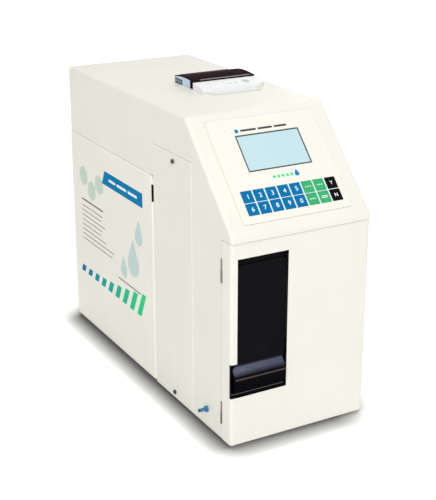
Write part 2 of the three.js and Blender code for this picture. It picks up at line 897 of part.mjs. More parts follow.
function frontDoor() {
  const outline = roundedOutline([
    [0, doorDepth],
    [0, 0, doorCornerRadius],
    [width, 0, doorCornerRadius],
    [width, doorDepth],
  ]);
  const windowSpan = [windowLeft, windowLeft + windowWidth];
  const frontSpan = [-overrun, doorWall + sink];
  const catchRight = width - frontFlange - gap;
  const strike = box(
    [catchRight - catchWidth, catchRight],
    [doorWall - sink, housingFrontY - catchDepth / 2 + sink],
    [catchZ + (catchHeight - strikeHeight) / 2, catchZ + (catchHeight + strikeHeight) / 2],
  );
  const tray = cut(
    prism("z", outline, [-doorDrop, doorTop], doorEdge),
    box(
      [doorWall, width - doorWall],
      [doorWall, doorDepth + overrun],
      [doorWall - doorDrop, doorTop - doorWall],
    ),
    box(windowSpan, frontSpan, [windowBottom, windowTop]),
    box([-overrun, windowSpan[1]], frontSpan, [windowBottom, notchTop]),
    box([-overrun, doorWall + sink], [-overrun, notchDepth], [windowBottom, notchTop]),
  );
  const lowerHalf = (z) => [z - hingeClearance, z + hingeLength / 2 + gap];
  const upperHalf = (z) => [z + hingeLength / 2 + gap, z + hingeLength];
  const hinges = [hingeUpperZ, hingeLowerZ];
  const pockets = hinges.map((z) =>
    rod("z", [0, hingeAxisY], knuckleRadius + hingeClearance, lowerHalf(z), smallSides),
  );
  const knuckles = hinges.map((z) => rod("z", [0, hingeAxisY], knuckleRadius, upperHalf(z), smallSides));
  const bores = hinges.map((z) =>
    rod("z", [0, hingeAxisY], pinRadius + gap, [z, z + hingeLength + overrun], smallSides),
  );
  return piece("front_door", cut(join(cut(tray, pockets), strike, knuckles), bores), ivory());
}

function hinge(name, z) {
  const half = hingeLength / 2;
  const leafRight = insideLeft + hingeLeaf;
  const web = box(
    [-knuckleRadius / 2, leafRight],
    [housingFrontY + gap - sink, housingFrontY + gap - sink + hingeLeaf],
    [0, half],
  );
  const leaf = box([insideLeft, leafRight], [housingFrontY, housingFrontY + hingeLeafLength], [0, half]);
  const body = join(
    rod("z", [0, hingeAxisY], knuckleRadius, [0, half], smallSides),
    rod("z", [0, hingeAxisY], pinRadius, [half - sink, hingeLength - gap], smallSides),
    web,
    leaf,
  );
  const mesh = piece(name, body, darkSteel());
  mesh.position.z = z;
  return mesh;
}

function doorMagnet() {
  const right = width - frontFlange - gap;
  const front = housingFrontY - catchDepth / 2 + 2 * sink;
  return piece(
    "door_magnet",
    box([right - catchWidth, right], [front, front + catchDepth], [catchZ, catchZ + catchHeight]),
    rubber(),
  );
}

// Sampler

function probeBore() {
  const bore = rod("z", [0, 0], probeBoreRadius, [-overrun, hubBottom - probeTravel], smallSides);
  return moved(probeMatrix, bore);
}

function samplerFrame() {
  const faceRear = samplerFaceY + samplerFaceWall;
  const spanY = [faceRear - sink, serviceY];
  const half = railSize / 2;
  const face = box([samplerLeft, samplerRight], [samplerFaceY, faceRear], [samplerBottom, samplerTop]);
  const walls = [
    box([samplerLeft, samplerLeft + samplerWall], spanY, [samplerBottom, samplerTop]),
    box([samplerRight - samplerWall, samplerRight], spanY, [samplerBottom, samplerTop]),
    box([samplerLeft, samplerRight], spanY, [samplerBottom, samplerBottom + samplerWall]),
    box([samplerLeft, samplerRight], spanY, [samplerTop - samplerWall, samplerTop]),
  ];
  const raised = roundedOutline([
    [panelLeft, panelBottom],
    [panelRight, panelBottom],
    [panelRight, panelTop, panelRadius],
    [panelLeft, panelTop, panelRadius],
  ]);
  const panel = prism("y", raised, [samplerFaceY - panelProud, samplerFaceY + sink]);
  const rail = box([-half, half], [railFront, railFront + railSize], [railBottom, railTop]);
  const railFootTop = probeExitZ + railBottom * Math.cos(probeAngle);
  const railHeadTop = probeExitZ + railTop * Math.cos(probeAngle) - railFront * Math.sin(probeAngle);
  const railFootRear = probeExitY + railBottom * Math.sin(probeAngle) + railFront + railSize;
  const railHeadFront = probeExitY + railTop * Math.sin(probeAngle);
  const bracketSpan = [probeX - half, probeX + half];
  const brackets = [
    box(bracketSpan, [faceRear - sink, railFootRear], [railFootTop - railFootHeight, railFootTop]),
    box(bracketSpan, [railHeadFront, serviceY], [railHeadTop - railHeadHeight, railHeadTop]),
  ];
  const body = join(face, walls, panel, moved(probeMatrix, rail), brackets);
  return piece("sampler_frame", cut(body, probeBore()), black());
}

function samplerNose() {
  const rear = samplerFaceY - gap;
  const top = panelBottom - gap;
  const wedge = roundedOutline([
    [rear, noseBottom],
    [rear, top],
    [noseBrowY, top],
    [noseBrowY, noseBrowZ],
    [noseCreaseY, noseCreaseZ, noseCreaseRadius],
    [noseRidgeY, noseRidgeZ],
    [noseLipY, noseBottom],
  ]);
  const body = prism("x", wedge, [noseLeft, noseRight], noseEdge);
  const cheek = box(
    [cheekLeft, cheekLeft + cheekWidth],
    [cheekFrontY, cheekFrontY + cheekThickness],
    [noseBottom, notchTop - 2 * gap],
  );
  return piece("sampler_nose", cut(join(body, cheek), probeBore()), black());
}

function sampleProbe() {
  const half = railSize / 2 + gap;
  const sleeve = box(
    [-half, half],
    [railFront - gap, railFront + railSize + gap],
    [hubBottom - overrun, hubBottom + hubLength + overrun],
  );
  const hub = cut(
    box([-hubHalfWidth, hubHalfWidth], [-hubFront, hubBack], [hubBottom, hubBottom + hubLength]),
    sleeve,
  );
  const needle = rod("z", [0, 0], probeRadius, [probeHidden, probeHidden + probeLength], smallSides);
  return piece("sample_probe", join(hub, needle), steel());
}

// Analysis parts on the bulkhead

function electrodeHolder() {
  const rear = serviceY;
  const backFront = electrodeFrontY + electrodeDepth + gap;
  const wallTop = latchPivotZ + latchEar;
  const side = (x) => [
    box([x, x + holderWall], [holderFrontY, rear], [holderBottom, stackTop]),
    box([x, x + holderWall], [latchPivotY - latchEar, rear], [stackTop - sink, wallTop]),
  ];
  const pivot = rod(
    "x",
    [latchPivotY, latchPivotZ],
    latchPinRadius + gap,
    [holderLeft - overrun, holderRight + overrun],
    smallSides,
  );
  const outlet = rod(
    "z",
    [holderMiddle, electrodeFrontY + flowInset],
    flowRadius,
    [holderBottom - overrun, holderBottom + holderLedge + overrun],
    tubeSides,
  );
  const body = join(
    side(holderLeft),
    side(holderRight - holderWall),
    box([holderLeft, holderRight], [holderFrontY, rear], [holderBottom, holderBottom + holderLedge]),
    box([holderLeft, holderRight], [backFront, rear], [holderBottom, stackTop]),
  );
  return piece("electrode_holder", cut(body, pivot, outlet), white());
}

function electrodes() {
  const names = ["reference", "chloride", "potassium", "sodium"];
  const colors = [0xdfe3e6, 0x7fb069, 0xc98a4b, 0x6f8fc2];
  const half = electrodeWidth / 2;
  return names.map((name, i) => {
    const body = join(
      box([-half, half], [0, electrodeDepth], [0, electrodeHeight]),
      rod("y", [0, electrodeHeight / 2], electrodeBossRadius, [-electrodeBossDepth, sink], roundSides),
    );
    const flow = rod("z", [0, flowInset], flowRadius, [-overrun, electrodeHeight + overrun], tubeSides);
    const mesh = piece(`electrode_${name}`, cut(body, flow), finish(colors[i], 0.3));
    mesh.position.set(holderMiddle, electrodeFrontY, stackBottom + i * electrodePitch);
    return mesh;
  });
}

function electrodeLatch() {
  const left = holderLeft + holderWall + gap;
  const right = holderRight - holderWall - gap;
  const place = [latchPivotY, latchPivotZ];
  const arm = box([left, right], [latchFrontY, latchRearY], [latchBottom, latchBottom + latchThickness]);
  const link = box(
    [left, right],
    [latchRearY - latchThickness, latchPivotY],
    [latchBottom + sink, latchPivotZ + latchKnuckleRadius / 2],
  );
  const knuckle = rod("x", place, latchKnuckleRadius, [left, right]);
  const pin = rod("x", place, latchPinRadius, [left - latchPinLength, right + latchPinLength], smallSides);
  return piece("electrode_latch", join(arm, link, knuckle, pin), finish(0x2f6db0, 0.4));
}

function solutionValve() {
  const front = bulkheadY + sheet + gap;
  const block = box(
    [valveLeft, valveLeft + valveWidth],
    [front, front + valveDepth],
    [valveBottom, valveBottom + valveHeight],
  );
  const middle = front + valveDepth / 2;
  const first = valveLeft + (valveWidth - (nippleCount - 1) * nipplePitch) / 2;
  const nippleSpan = [valveBottom - nippleLength, valveBottom + sink];
  const nipples = count(nippleCount).map((i) =>
    rod("z", [first + i * nipplePitch, middle], nippleRadius, nippleSpan, smallSides),
  );
  return piece("solution_valve", join(block, nipples), white());
}

function pumpHead() {
  const centre = [pumpX, pumpZ];
  const inner = trackRadius + tubeRadius + gap;
  const everyY = [pumpFrontY - overrun, serviceY - pumpBack];
  const body = cut(
    rod("y", centre, pumpRadius, [pumpFrontY, serviceY]),
    rod("y", centre, inner, everyY),
    rod("y", centre, shaftRadius + shaftClearance * 2, [pumpFrontY, serviceY + overrun], smallSides),
    box([pumpX - pumpRadius / 2, pumpX + pumpRadius / 2], everyY, [pumpZ, pumpZ + pumpRadius + overrun]),
    box([pumpX - pumpRadius - overrun, pumpX], everyY, [pumpZ - pumpRadius / 2, pumpZ + pumpRadius / 2]),
  );
  return piece("pump_head", body, white());
}

function pumpRotor() {
  const rollers = count(rollerCount).map((i) => {
    const angle = (i * 2 * Math.PI) / rollerCount + Math.PI / 2;
    const place = [pumpX + rollerOrbit * Math.cos(angle), pumpZ + rollerOrbit * Math.sin(angle)];
    return rod("y", place, rollerRadius, [rotorFrontY + sink, rotorRearY - sink], smallSides);
  });
  const centre = [pumpX, pumpZ];
  const body = join(
    rod("y", centre, rotorPlateRadius, [rotorFrontY, rotorFrontY + rotorPlate]),
    rod("y", centre, rotorPlateRadius, [rotorRearY - rotorPlate, rotorRearY]),
    rod("y", centre, rotorHubRadius, [rotorFrontY + sink, rotorRearY - sink]),
    rod("y", centre, knobRadius, [rotorFrontY - knobLength, rotorFrontY + sink]),
    rod("y", centre, shaftRadius, [rotorRearY - sink, bulkheadY + shaftReach], smallSides),
    rollers,
  );
  return piece("pump_rotor", body, finish(0x8f9498, 0.4, 0.3));
}

function pumpMotor() {
  const front = bulkheadY + sheet + gap;
  const half = motorPlateSize / 2;
  const body = cut(
    join(
      box([pumpX - half, pumpX + half], [front, front + motorPlate], [pumpZ - half, pumpZ + half]),
      rod("y", [pumpX, pumpZ], motorRadius, [front + sink, front + motorLength]),
    ),
    rod(
      "y",
      [pumpX, pumpZ],
      shaftRadius + shaftClearance,
      [front - overrun, bulkheadY + shaftReach + gap],
      smallSides,
    ),
  );
  return piece("pump_motor", body, steel());
}

// The tube leaves the electrodes, winds round the rotor and ends at the waste port.
function pumpTube() {
  const outletX = holderMiddle;
  const outletY = electrodeFrontY + flowInset;
  const trackY = (rotorFrontY + rotorRearY) / 2;
  const onTrack = (degrees, radius = trackRadius) => {
    const angle = THREE.MathUtils.degToRad(degrees);
    return [pumpX + radius * Math.cos(angle), trackY, pumpZ + radius * Math.sin(angle)];
  };
  const straight = 2.5 * tubeRadius;
  const wasteX = insideLeft + wasteShankLength - wasteClearance;
  const points = [
    [outletX, outletY, holderBottom - gap],
    [outletX, outletY, holderBottom - gap - straight],
    [outletX + straight, outletY + straight, holderBottom - gap - 2 * straight],
    [pumpX - straight, trackY - straight / 2, pumpZ + pumpRadius + tubeRadius],
    onTrack(trackFirst + trackStep, trackRadius + tubeRadius / 2),
    ...count(trackPoints).map((i) => onTrack(trackFirst - i * trackStep)),
    [pumpX - pumpRadius + tubeRadius, trackY, pumpZ - tubeRadius],
    [pumpX - pumpRadius - straight, trackY - tubeRadius, (pumpZ + wastePortZ) / 2 + tubeRadius],
    [samplerRight, (trackY + wastePortY) / 2, wastePortZ + straight],
    [samplerRight / 2, wastePortY, wastePortZ],
    [wasteX + straight, wastePortY, wastePortZ],
    [wasteX, wastePortY, wastePortZ],
  ].map((p) => new THREE.Vector3(...p));
  const section = new THREE.Shape(
    count(tubeSides).map((i) => {
      const angle = (i * 2 * Math.PI) / tubeSides;
      return new THREE.Vector2(Math.cos(angle), Math.sin(angle)).multiplyScalar(tubeRadius);
    }),
  );
  const geometry = new THREE.ExtrudeGeometry(section, {
    steps: tubeSteps,
    bevelEnabled: false,
    extrudePath: new THREE.CatmullRomCurve3(points),
  });
  return piece("pump_tube", solidOf(geometry), finish(0xe6e2d6, 0.5));
}

function wastePort() {
  const centre = [0, 0];
  const flangeLeft = -gap - wasteFlange;
  const stubLeft = flangeLeft - wasteStubLength;
  const right = insideLeft + wasteShankLength - wasteClearance - gap;
  const body = cut(
    join(
      rod("x", centre, wasteFlangeRadius, [flangeLeft, -gap], smallSides),
      rod("x", centre, wasteStubRadius, [stubLeft, flangeLeft + sink], smallSides),
      rod("x", centre, wasteShankRadius, [-gap - sink, right], smallSides),
    ),
    rod("x", centre, wasteBoreRadius, [stubLeft - overrun, right + overrun], tubeSides),
  );
  const mesh = piece("waste_port", body, finish(0x378cc3, 0.35));
  mesh.position.set(0, wastePortY, wastePortZ);
  return mesh;
}

// Console: pieces are built in the frame of the slope

const displayLeft = (consoleSpanX[0] + consoleSpanX[1] - displayWidth) / 2 + displayShift;
const displayTop = consoleSpanY[1] - displayDrop;
const keyPitch =
  (consoleSpanX[1] - consoleSpanX[0] - keyLeftInset - keyRightInset + keyGap) / keyColumns;
const keyWidth = keyPitch - keyGap;
const keyBottom = consoleProud + keyProud - keyThickness;
const pocketFloor = keyBottom - keyTravel - keyPocketClearance;

function keyPlaces() {
  const names = [
    ["key_1", "key_2", "key_3", "key_4", "key_5", "key_function_a", "key_function_b", "key_yes"],
    ["key_6", "key_7", "key_8", "key_9", "key_0", "key_function_c", "key_function_d", "key_no"],
  ];
  const rowPitch = keyHeight + keyRowGap;
  return count(keyRows * keyColumns).map((i) => {
    const row = Math.floor(i / keyColumns);
    const column = i % keyColumns;
    const left = consoleSpanX[0] + keyLeftInset + column * keyPitch;
    const top = consoleSpanY[0] + keyBottomInset + keyHeight + (keyRows - 1 - row) * rowPitch;
    return {
      name: names[row][column],
      column,
      x: left + keyWidth / 2,
      y: top - keyHeight / 2,
    };
  });
}

function displayHole(margin) {
  return [
    [displayLeft - margin, displayLeft + displayWidth + margin],
    [displayTop - displayHeight - margin, displayTop + margin],
  ];
}

function consolePanel() {
  const above = consoleProud + overrun;
  const pockets = keyPlaces().map(({ x, y }) =>
    box(
      [x - keyWidth / 2 - gap, x + keyWidth / 2 + gap],
      [y - keyHeight / 2 - gap, y + keyHeight / 2 + gap],
      [pocketFloor, above],
    ),
  );
  const plate = prism(
    "z",
    rectangle(consoleSpanX, consoleSpanY, consoleRadius),
    [consoleProud - consoleThickness, consoleProud],
    consoleEdge,
  );
  const hole = box(...displayHole(displayRim + gap), [-consoleThickness - overrun, above]);
  return piece("console_panel", cut(plate, hole, pockets), ivory());
}

function displayModule() {
  const back = consoleProud - consoleThickness - gap;
  const rimTop = consoleProud - keyPocketClearance;
  const windowFloor = rimTop - displayThickness - gap;
  const [spanX, spanY] = displayHole(displayRim);
  const body = join(
    box(
      [spanX[0] - moduleMarginX, spanX[1] + moduleMarginX],
      [spanY[0] - moduleMarginY, spanY[1] + moduleMarginY],
      [back - moduleThickness, back],
    ),
    box(spanX, spanY, [back - sink, rimTop]),
  );
  const pocket = box(...displayHole(0), [windowFloor, rimTop + overrun]);
  return piece("display_module", cut(body, pocket), darkSteel());
}

function displayWindow() {
  const top = consoleProud - keyPocketClearance;
  const pane = box(...displayHole(-gap), [top - displayThickness, top]);
  return piece("display_window", pane, finish(0xcceaf0, 0.15));
}

function keys() {
  const colorOf = (column) => {
    if (column < keyColumns - 3) return 0x0f7fb8;
    return column < keyColumns - 1 ? 0x46b473 : 0x0f0c0b;
  };
  const half = [keyWidth / 2, keyHeight / 2];
  const outline = rectangle([-half[0], half[0]], [-half[1], half[1]], keyRadius, keySteps);
  return keyPlaces().map(({ name, column, x, y }) => {
    const cap = prism("z", outline, [0, keyThickness], keyEdge, keySteps);
    const mesh = piece(name, cap, finish(colorOf(column), 0.4));
    mesh.position.set(x, y, keyBottom);
    return mesh;
  });
}

// Printer: pieces are built up from the top of the housing

// The arch of the lid at a place along Y, for its outer face.
function lidRise(y) {
  const front = y < lidCrownY;
  const reach = front ? lidFrontY - lidCrownY : lidRearY - lidCrownY;
  const fall = lidCrownRise - (front ? lidFrontRise : lidRearRise);
  return lidCrownRise - fall * ((y - lidCrownY) / reach) ** 2;
}

function archOutline([y0, y1], drop, bottom) {
  const steps = 2 * arcSteps;
  const arch = count(steps + 1).map((i) => {
    const y = y1 + ((y0 - y1) * i) / steps;
    return new THREE.Vector2(y, lidRise(y) - drop);
  });
  return [new THREE.Vector2(y0, bottom), new THREE.Vector2(y1, bottom), ...arch];
}

function printerBody() {
  const apronRearY = apronFrontY + apronDepth;
  const apronLeft = printerLeft - apronLeftMargin;
  const apronRight = printerRightX + apronRightMargin;
  const profile = roundedOutline([
    [apronFrontY, gap],
    [apronRearY, gap],
    [apronRearY, apronRearHeight],
    [apronFrontY, apronFrontHeight, apronRound],
  ]);
  const plan = roundedOutline([
    [apronLeft, apronFrontY, apronLeftRadius],
    [apronRight, apronFrontY, apronRightRadius],
    [apronRight, apronRearY],
    [apronLeft, apronRearY],
  ]);
  const apron = prism("x", profile, [apronLeft, apronRight]).intersect(
    prism("z", plan, [0, apronRearHeight + gap]),
  );
  const flange = box(
    [printerLeft + flangeInset, printerRightX - flangeRightInset],
    [flangeFrontY, apronFrontY + apronRound],
    [gap, flangeHeight],
  );
  const well = cut(
    box([wellLeft, wellRight], [wellFrontY, wellRearY], [-wellDepth, wellRise]),
    box(
      [wellLeft - overrun, wellRight + overrun],
      [wellFrontY - overrun, apronRearY - sink],
      [gap + sink, wellRise + overrun],
    ),
    box(
      [wellLeft + wellWall, wellRight - wellWall],
      [apronRearY, wellRearY - wellWall],
      [wellWall - wellDepth, wellRise + overrun],
    ),
    box(
      [wellLeft - overrun, wellRight + overrun],
      [lidAxisY - lidBarrelRadius - 2 * gap, wellRearY + overrun],
      [lidAxisRise - lidBarrelRadius - gap, wellRise + overrun],
    ),
    rod(
      "x",
      [platenY, platenRise],
      platenPinRadius + gap,
      [wellLeft - overrun, wellRight + overrun],
      smallSides,
    ),
  );
  const hubReach = (wellRight - wellLeft - 2 * wellWall - rollLength) / 2 + rollHubOverlap;
  const hub = ([from, to]) =>
    rod("x", [rollY, -rollDrop], rollBoreRadius - rollHubClearance, [from, to], smallSides);
  const hubs = [
    hub([wellLeft + wellWall - sink, wellLeft + wellWall + hubReach]),
    hub([wellRight - wellWall - hubReach, wellRight - wellWall + sink]),
  ];
  const axis = [lidAxisY, lidAxisRise];
  const ear = ([from, to], [pinFrom, pinTo]) => [
    rod("x", axis, lidBarrelRadius, [from, to], smallSides),
    box([from, to], [lidAxisY - lidBarrelRadius, wellRearY - sink], [0, lidAxisRise]),
    rod("x", axis, lidPinRadius, [pinFrom, pinTo], smallSides),
  ];
  const leftPost = wellLeft + lidEar;
  const rightPost = wellRight - lidEar;
  const ears = [
    ear([wellLeft, leftPost], [leftPost - sink, leftPost + lidPinLength]),
    ear([rightPost, wellRight], [rightPost - lidPinLength, rightPost + sink]),
  ];
  const rightCheek = prism(
    "x",
    archOutline([endCapFrontY, endCapFrontY + endCapDepth], lidWall + gap, gap),
    [wellRight - sink, printerRightX - gap],
  );
  const feedPocket = rod("z", [feedX, feedY], feedRadius + gap, [feedFloor, feedTop + overrun], roundSides);
  return piece(
    "printer_body",
    cut(join(apron, flange, well, hubs, ears.flat(), rightCheek), feedPocket),
    white(),
  );
}

function printerLid() {
  const span = [printerLeft, printerRightX];
  const outer = archOutline([lidFrontY, lidRearY], 0, lidRearRise - lidWall);
  const inner = archOutline([lidFrontY - overrun, lidRearY + overrun], lidWall, -overrun);
  const arch = cut(prism("x", outer, span), prism("x", inner, [span[0] - overrun, span[1] + overrun]));
  const barrelSpan = [wellLeft + lidEar + gap, wellRight - lidEar - gap];
  const axis = [lidAxisY, lidAxisRise];
  const strap = box(
    barrelSpan,
    [lidRearY - lidWall, lidAxisY],
    [lidRearRise - lidWall, lidRearRise - lidWall / 4],
  );
  const legSpans = [
    [span[0], span[0] + lidLegWidth],
    [span[1] - lidLegWidth, span[1]],
  ];
  const leg = archOutline([lidLegY, lidLegY + lidLegDepth], lidWall / 2, lidLegRise);
  const legs = legSpans.map((legSpan) => prism("x", leg, legSpan));
  const bores = [
    rod("x", axis, lidPinRadius + gap, [barrelSpan[0] - overrun, barrelSpan[0] + lidPinLength], smallSides),
    rod("x", axis, lidPinRadius + gap, [barrelSpan[1] - lidPinLength, barrelSpan[1] + overrun], smallSides),
  ];
  const barrel = rod("x", axis, lidBarrelRadius, barrelSpan, smallSides);
  return piece("printer_lid", cut(join(arch, barrel, strap, legs), bores), finish(0x281518, 0.2));
}

function printerEndCap() {
  const span = [endCapFrontY, endCapFrontY + endCapDepth];
  const cap = prism("x", archOutline(span, lidWall + gap, gap), [printerLeft, printerLeft + endCapWidth]);
  const vents = count(endVentCount).map((i) => {
    const rear = span[1] - endVentMargin - i * endVentPitch;
    return box(
      [printerLeft - overrun, printerLeft + endVentDepth],
      [rear - endVentWidth, rear],
      [gap + endVentMargin, lidRearRise - lidWall - gap - endVentMargin],
    );
  });
  return piece("printer_end_cap", cut(cap, vents), finish(0xb6c9d8, 0.35));
}

function paperRoll() {
  const middle = (wellLeft + wellRight) / 2;
  const span = [middle - rollLength / 2, middle + rollLength / 2];
  const roll = cut(
    rod("x", [rollY, -rollDrop], rollRadius, span),
    rod("x", [rollY, -rollDrop], rollBoreRadius, [span[0] - overrun, span[1] + overrun], smallSides),
  );
  return piece("paper_roll", roll, finish(0xfafaf6, 0.85));
}

function platenRoller() {
  const place = [platenY, platenRise];
  const span = [wellLeft + wellWall + 2 * gap, wellRight - wellWall - 2 * gap];
  const pins = [span[0] - platenPinLength, span[1] + platenPinLength];
  return piece(
    "platen_roller",
    join(rod("x", place, platenRadius, span), rod("x", place, platenPinRadius, pins, smallSides)),
    rubber(),
  );
}

function feedButton() {
  const button = piece(
    "feed_button",
    rod("z", [0, 0], feedRadius, [feedFloor + feedLift, feedTop]),
    finish(0x9fd6bd, 0.4),
  );
  button.position.set(feedX, feedY, 0);
  return button;
}

// Electronics

function mainBoard() {
  const left = bayWallX + boardOffset;
  const right = left + boardThickness;
  const middleZ = (boardBottom + boardTop) / 2;
  const chipSpan = [middleZ - chipSize / 2, middleZ + chipSize / 2];
  const chipPitch = (boardRearY - boardFrontY) / chipCount;
  const chips = count(chipCount).map((i) => {
    const y = boardFrontY + i * chipPitch + (chipPitch - chipSize) / 2;
    return box([right - sink, right + chipHeight], [y, y + chipSize], chipSpan);
  });
  const serialFront = boardRearY - serialShell;
  const serial = box(
    [right - sink, right + serialWidth],
    [serialFront, plateRearY + serialReach],
    [serialBottom, serialBottom + serialHeight],
  );
  const board = box([left, right], [boardFrontY, boardRearY], [boardBottom, boardTop]);
  return piece("main_board", join(board, chips, serial), finish(0x2d7a4a, 0.5));
}

function powerSupply() {
  const floor = floorTop + gap;
  const terminals = box(
    [supplyLeft + terminalSize, supplyRight - terminalSize],
    [supplyRearY - sink, supplyRearY + terminalSize],
    [floor, floor + terminalSize],
  );
  const casing = box([supplyLeft, supplyRight], [supplyFrontY, supplyRearY], [floor, floor + supplyHeight]);
  return piece("power_supply", join(casing, terminals), steel());
}

function connectorPlate() {
  const right = bayWallX + boardOffset + boardThickness;
  const holes = [
    box(
      [inletMiddle - inletWidth / 2 - gap, inletMiddle + inletWidth / 2 + gap],
      [plateRearY - overrun, plateRearY + overrun],
      [inletBottom - gap, inletBottom + inletHeight + gap],
    ),
    box(
      [right - sink - gap, right + serialWidth + gap],
      [plateRearY - overrun, plateRearY + overrun],
      [serialBottom - gap, serialBottom + serialHeight + gap],
    ),
  ];
  const plate = box(
    [rearOpeningLeft - plateMargin, rearOpeningLeft + rearOpeningWidth + plateMargin],
    [plateRearY - plateThickness, plateRearY],
    [rearOpeningBottom - plateMargin, rearOpeningTop + plateMargin],
  );
  return piece("connector_plate", cut(plate, holes), steel());
}

const rockerAxis = [inletFace - rockerAxisInset, inletBottom + rockerRise];

function powerInlet() {
  const spanX = [inletMiddle - inletWidth / 2, inletMiddle + inletWidth / 2];
  const spanZ = [inletBottom, inletBottom + inletHeight];
  const flange = inletFlangeMargin;
  const socketBottom = inletBottom + socketRise;
  const socketFloor = inletFace - socketDepth;
  const rockerHalfWidth = rockerWidth / 2 + 2 * gap;
  const body = join(
    box(spanX, [inletFace - inletDepth, inletFace - sink], spanZ),
    box(
      [spanX[0] - flange, spanX[1] + flange],
      [inletFace - inletFlange, inletFace],
      [spanZ[0] - flange, spanZ[1] + flange],
    ),
  );
  const recesses = [
    box(
      [inletMiddle - socketWidth / 2, inletMiddle + socketWidth / 2],
      [socketFloor, inletFace + overrun],
      [socketBottom, socketBottom + socketHeight],
    ),
    box(
      [inletMiddle - rockerHalfWidth, inletMiddle + rockerHalfWidth],
      [inletFace - rockerRecessDepth, inletFace + overrun],
      [rockerAxis[1] - rockerRecess, rockerAxis[1] + rockerRecess],
    ),
    rod(
      "x",
      rockerAxis,
      rockerPinRadius + gap,
      [inletMiddle - rockerHalfWidth - rockerPinLength, inletMiddle + rockerHalfWidth + rockerPinLength],
      smallSides,
    ),
  ];
  const bladeZ = socketBottom + socketHeight / 2 - bladeHeight / 2;
  const blades = [-1, 0, 1].map((i) =>
    box(
      [inletMiddle + i * bladePitch - bladeWidth / 2, inletMiddle + i * bladePitch + bladeWidth / 2],
      [socketFloor - sink, socketFloor + bladeLength],
      [bladeZ, bladeZ + bladeHeight],
    ),
  );
  return piece("power_inlet", join(cut(body, recesses), blades), black());
}

function powerRocker() {
  const half = rockerWidth / 2;
  const profile = [
    [-rockerBack, -rockerHalf + rockerValley],
    [rockerValley, -rockerHalf],
    [rockerCrest, -rockerHalf],
    [rockerValley, 0],
    [rockerCrest, rockerHalf],
    [rockerValley, rockerHalf],
    [-rockerBack, rockerHalf - rockerValley],
  ].map(([y, z]) => new THREE.Vector2(y, z));
  const body = join(
    prism("x", profile, [-half, half]),
    rod("x", [0, 0], rockerPinRadius, [-half - rockerPinLength, half + rockerPinLength], smallSides),
  );
  const mesh = piece("power_rocker", body, finish(0x141414, 0.3));
  mesh.position.set(inletMiddle, ...rockerAxis);
  mesh.rotation.x = THREE.MathUtils.degToRad(-rockerTilt);
  return mesh;
}

// The whole analyzer, with its origin under the middle of what it covers, on the surface that it stands on

const analyzer = new THREE.Group();
analyzer.add(
  mainHousing(),
  innerChassis(),
  ...feet(),
  sideCover(),
  coverScrew("side_cover_screw_upper", upperScrewY, coverHeight - upperScrewDrop),
  coverScrew("side_cover_screw_lower", lowerScrewY, lowerScrewZ),
  reagentPack(),
  reagentConnector(),
  frontDoor(),
  hinge("hinge_upper", hingeUpperZ),
  hinge("hinge_lower", hingeLowerZ),
  doorMagnet(),
  samplerFrame(),
  samplerNose(),
  assembly([sampleProbe()], probePosition, -probeAngle),
  electrodeHolder(),
  ...electrodes(),
  electrodeLatch(),
  solutionValve(),
  pumpHead(),
  pumpRotor(),
  pumpMotor(),
  pumpTube(),
  wastePort(),
  assembly(
    [consolePanel(), displayModule(), displayWindow(), ...keys()],
    [0, slopeTopY, height],
    consoleTilt,
  ),
  assembly(
    [printerBody(), printerLid(), printerEndCap(), paperRoll(), platenRoller(), feedButton()],
    [0, 0, height],
  ),
  mainBoard(),
  powerSupply(),
  connectorPlate(),
  powerInlet(),
  powerRocker(),
);

const extent = new THREE.Box3().setFromObject(analyzer, true);
const middle = extent.getCenter(new THREE.Vector3());
analyzer.position.set(-middle.x, -middle.y, -extent.min.z);

export default analyzer;
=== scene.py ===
"""Looks for a desktop electrolyte analyzer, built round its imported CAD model.

Metres. X runs right, Y back from the door, Z up from the floor.
"""

import json
import math
import random

import bmesh
import bpy
from mathutils import Matrix, Vector
from mathutils.bvhtree import BVHTree


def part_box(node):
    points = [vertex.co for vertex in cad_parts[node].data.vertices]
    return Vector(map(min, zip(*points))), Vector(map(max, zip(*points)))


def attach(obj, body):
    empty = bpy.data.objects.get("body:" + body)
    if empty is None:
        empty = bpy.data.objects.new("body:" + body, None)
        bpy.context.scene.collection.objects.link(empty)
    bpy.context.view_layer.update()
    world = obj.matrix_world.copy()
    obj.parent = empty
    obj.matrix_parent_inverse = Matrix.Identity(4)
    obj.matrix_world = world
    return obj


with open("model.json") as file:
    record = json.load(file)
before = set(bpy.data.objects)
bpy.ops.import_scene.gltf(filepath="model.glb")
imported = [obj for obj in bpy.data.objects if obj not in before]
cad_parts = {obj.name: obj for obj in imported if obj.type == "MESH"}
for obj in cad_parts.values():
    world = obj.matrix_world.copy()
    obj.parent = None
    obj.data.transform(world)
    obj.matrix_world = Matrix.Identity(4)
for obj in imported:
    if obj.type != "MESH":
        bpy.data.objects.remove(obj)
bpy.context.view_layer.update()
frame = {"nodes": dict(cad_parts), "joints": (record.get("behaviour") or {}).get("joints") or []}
nodes = frame["nodes"]
mm = 0.001

# Camera, at the photograph's place and angle
camera_place = (-0.59233, -1.08797, 0.59991)
camera_azimuth = math.radians(-29.34)
camera_elevation = math.radians(20.32)
camera_lens = 82.05
camera_sensor = 36

camera_data = bpy.data.cameras.new("camera")
camera_data.lens = camera_lens
camera_data.sensor_width = camera_sensor
camera = bpy.data.objects.new("camera", camera_data)
camera.location = camera_place
camera.rotation_euler = (math.pi / 2 - camera_elevation, 0, camera_azimuth)
bpy.context.scene.collection.objects.link(camera)
bpy.context.scene.camera = camera
bpy.context.scene.view_settings.view_transform = "Standard"

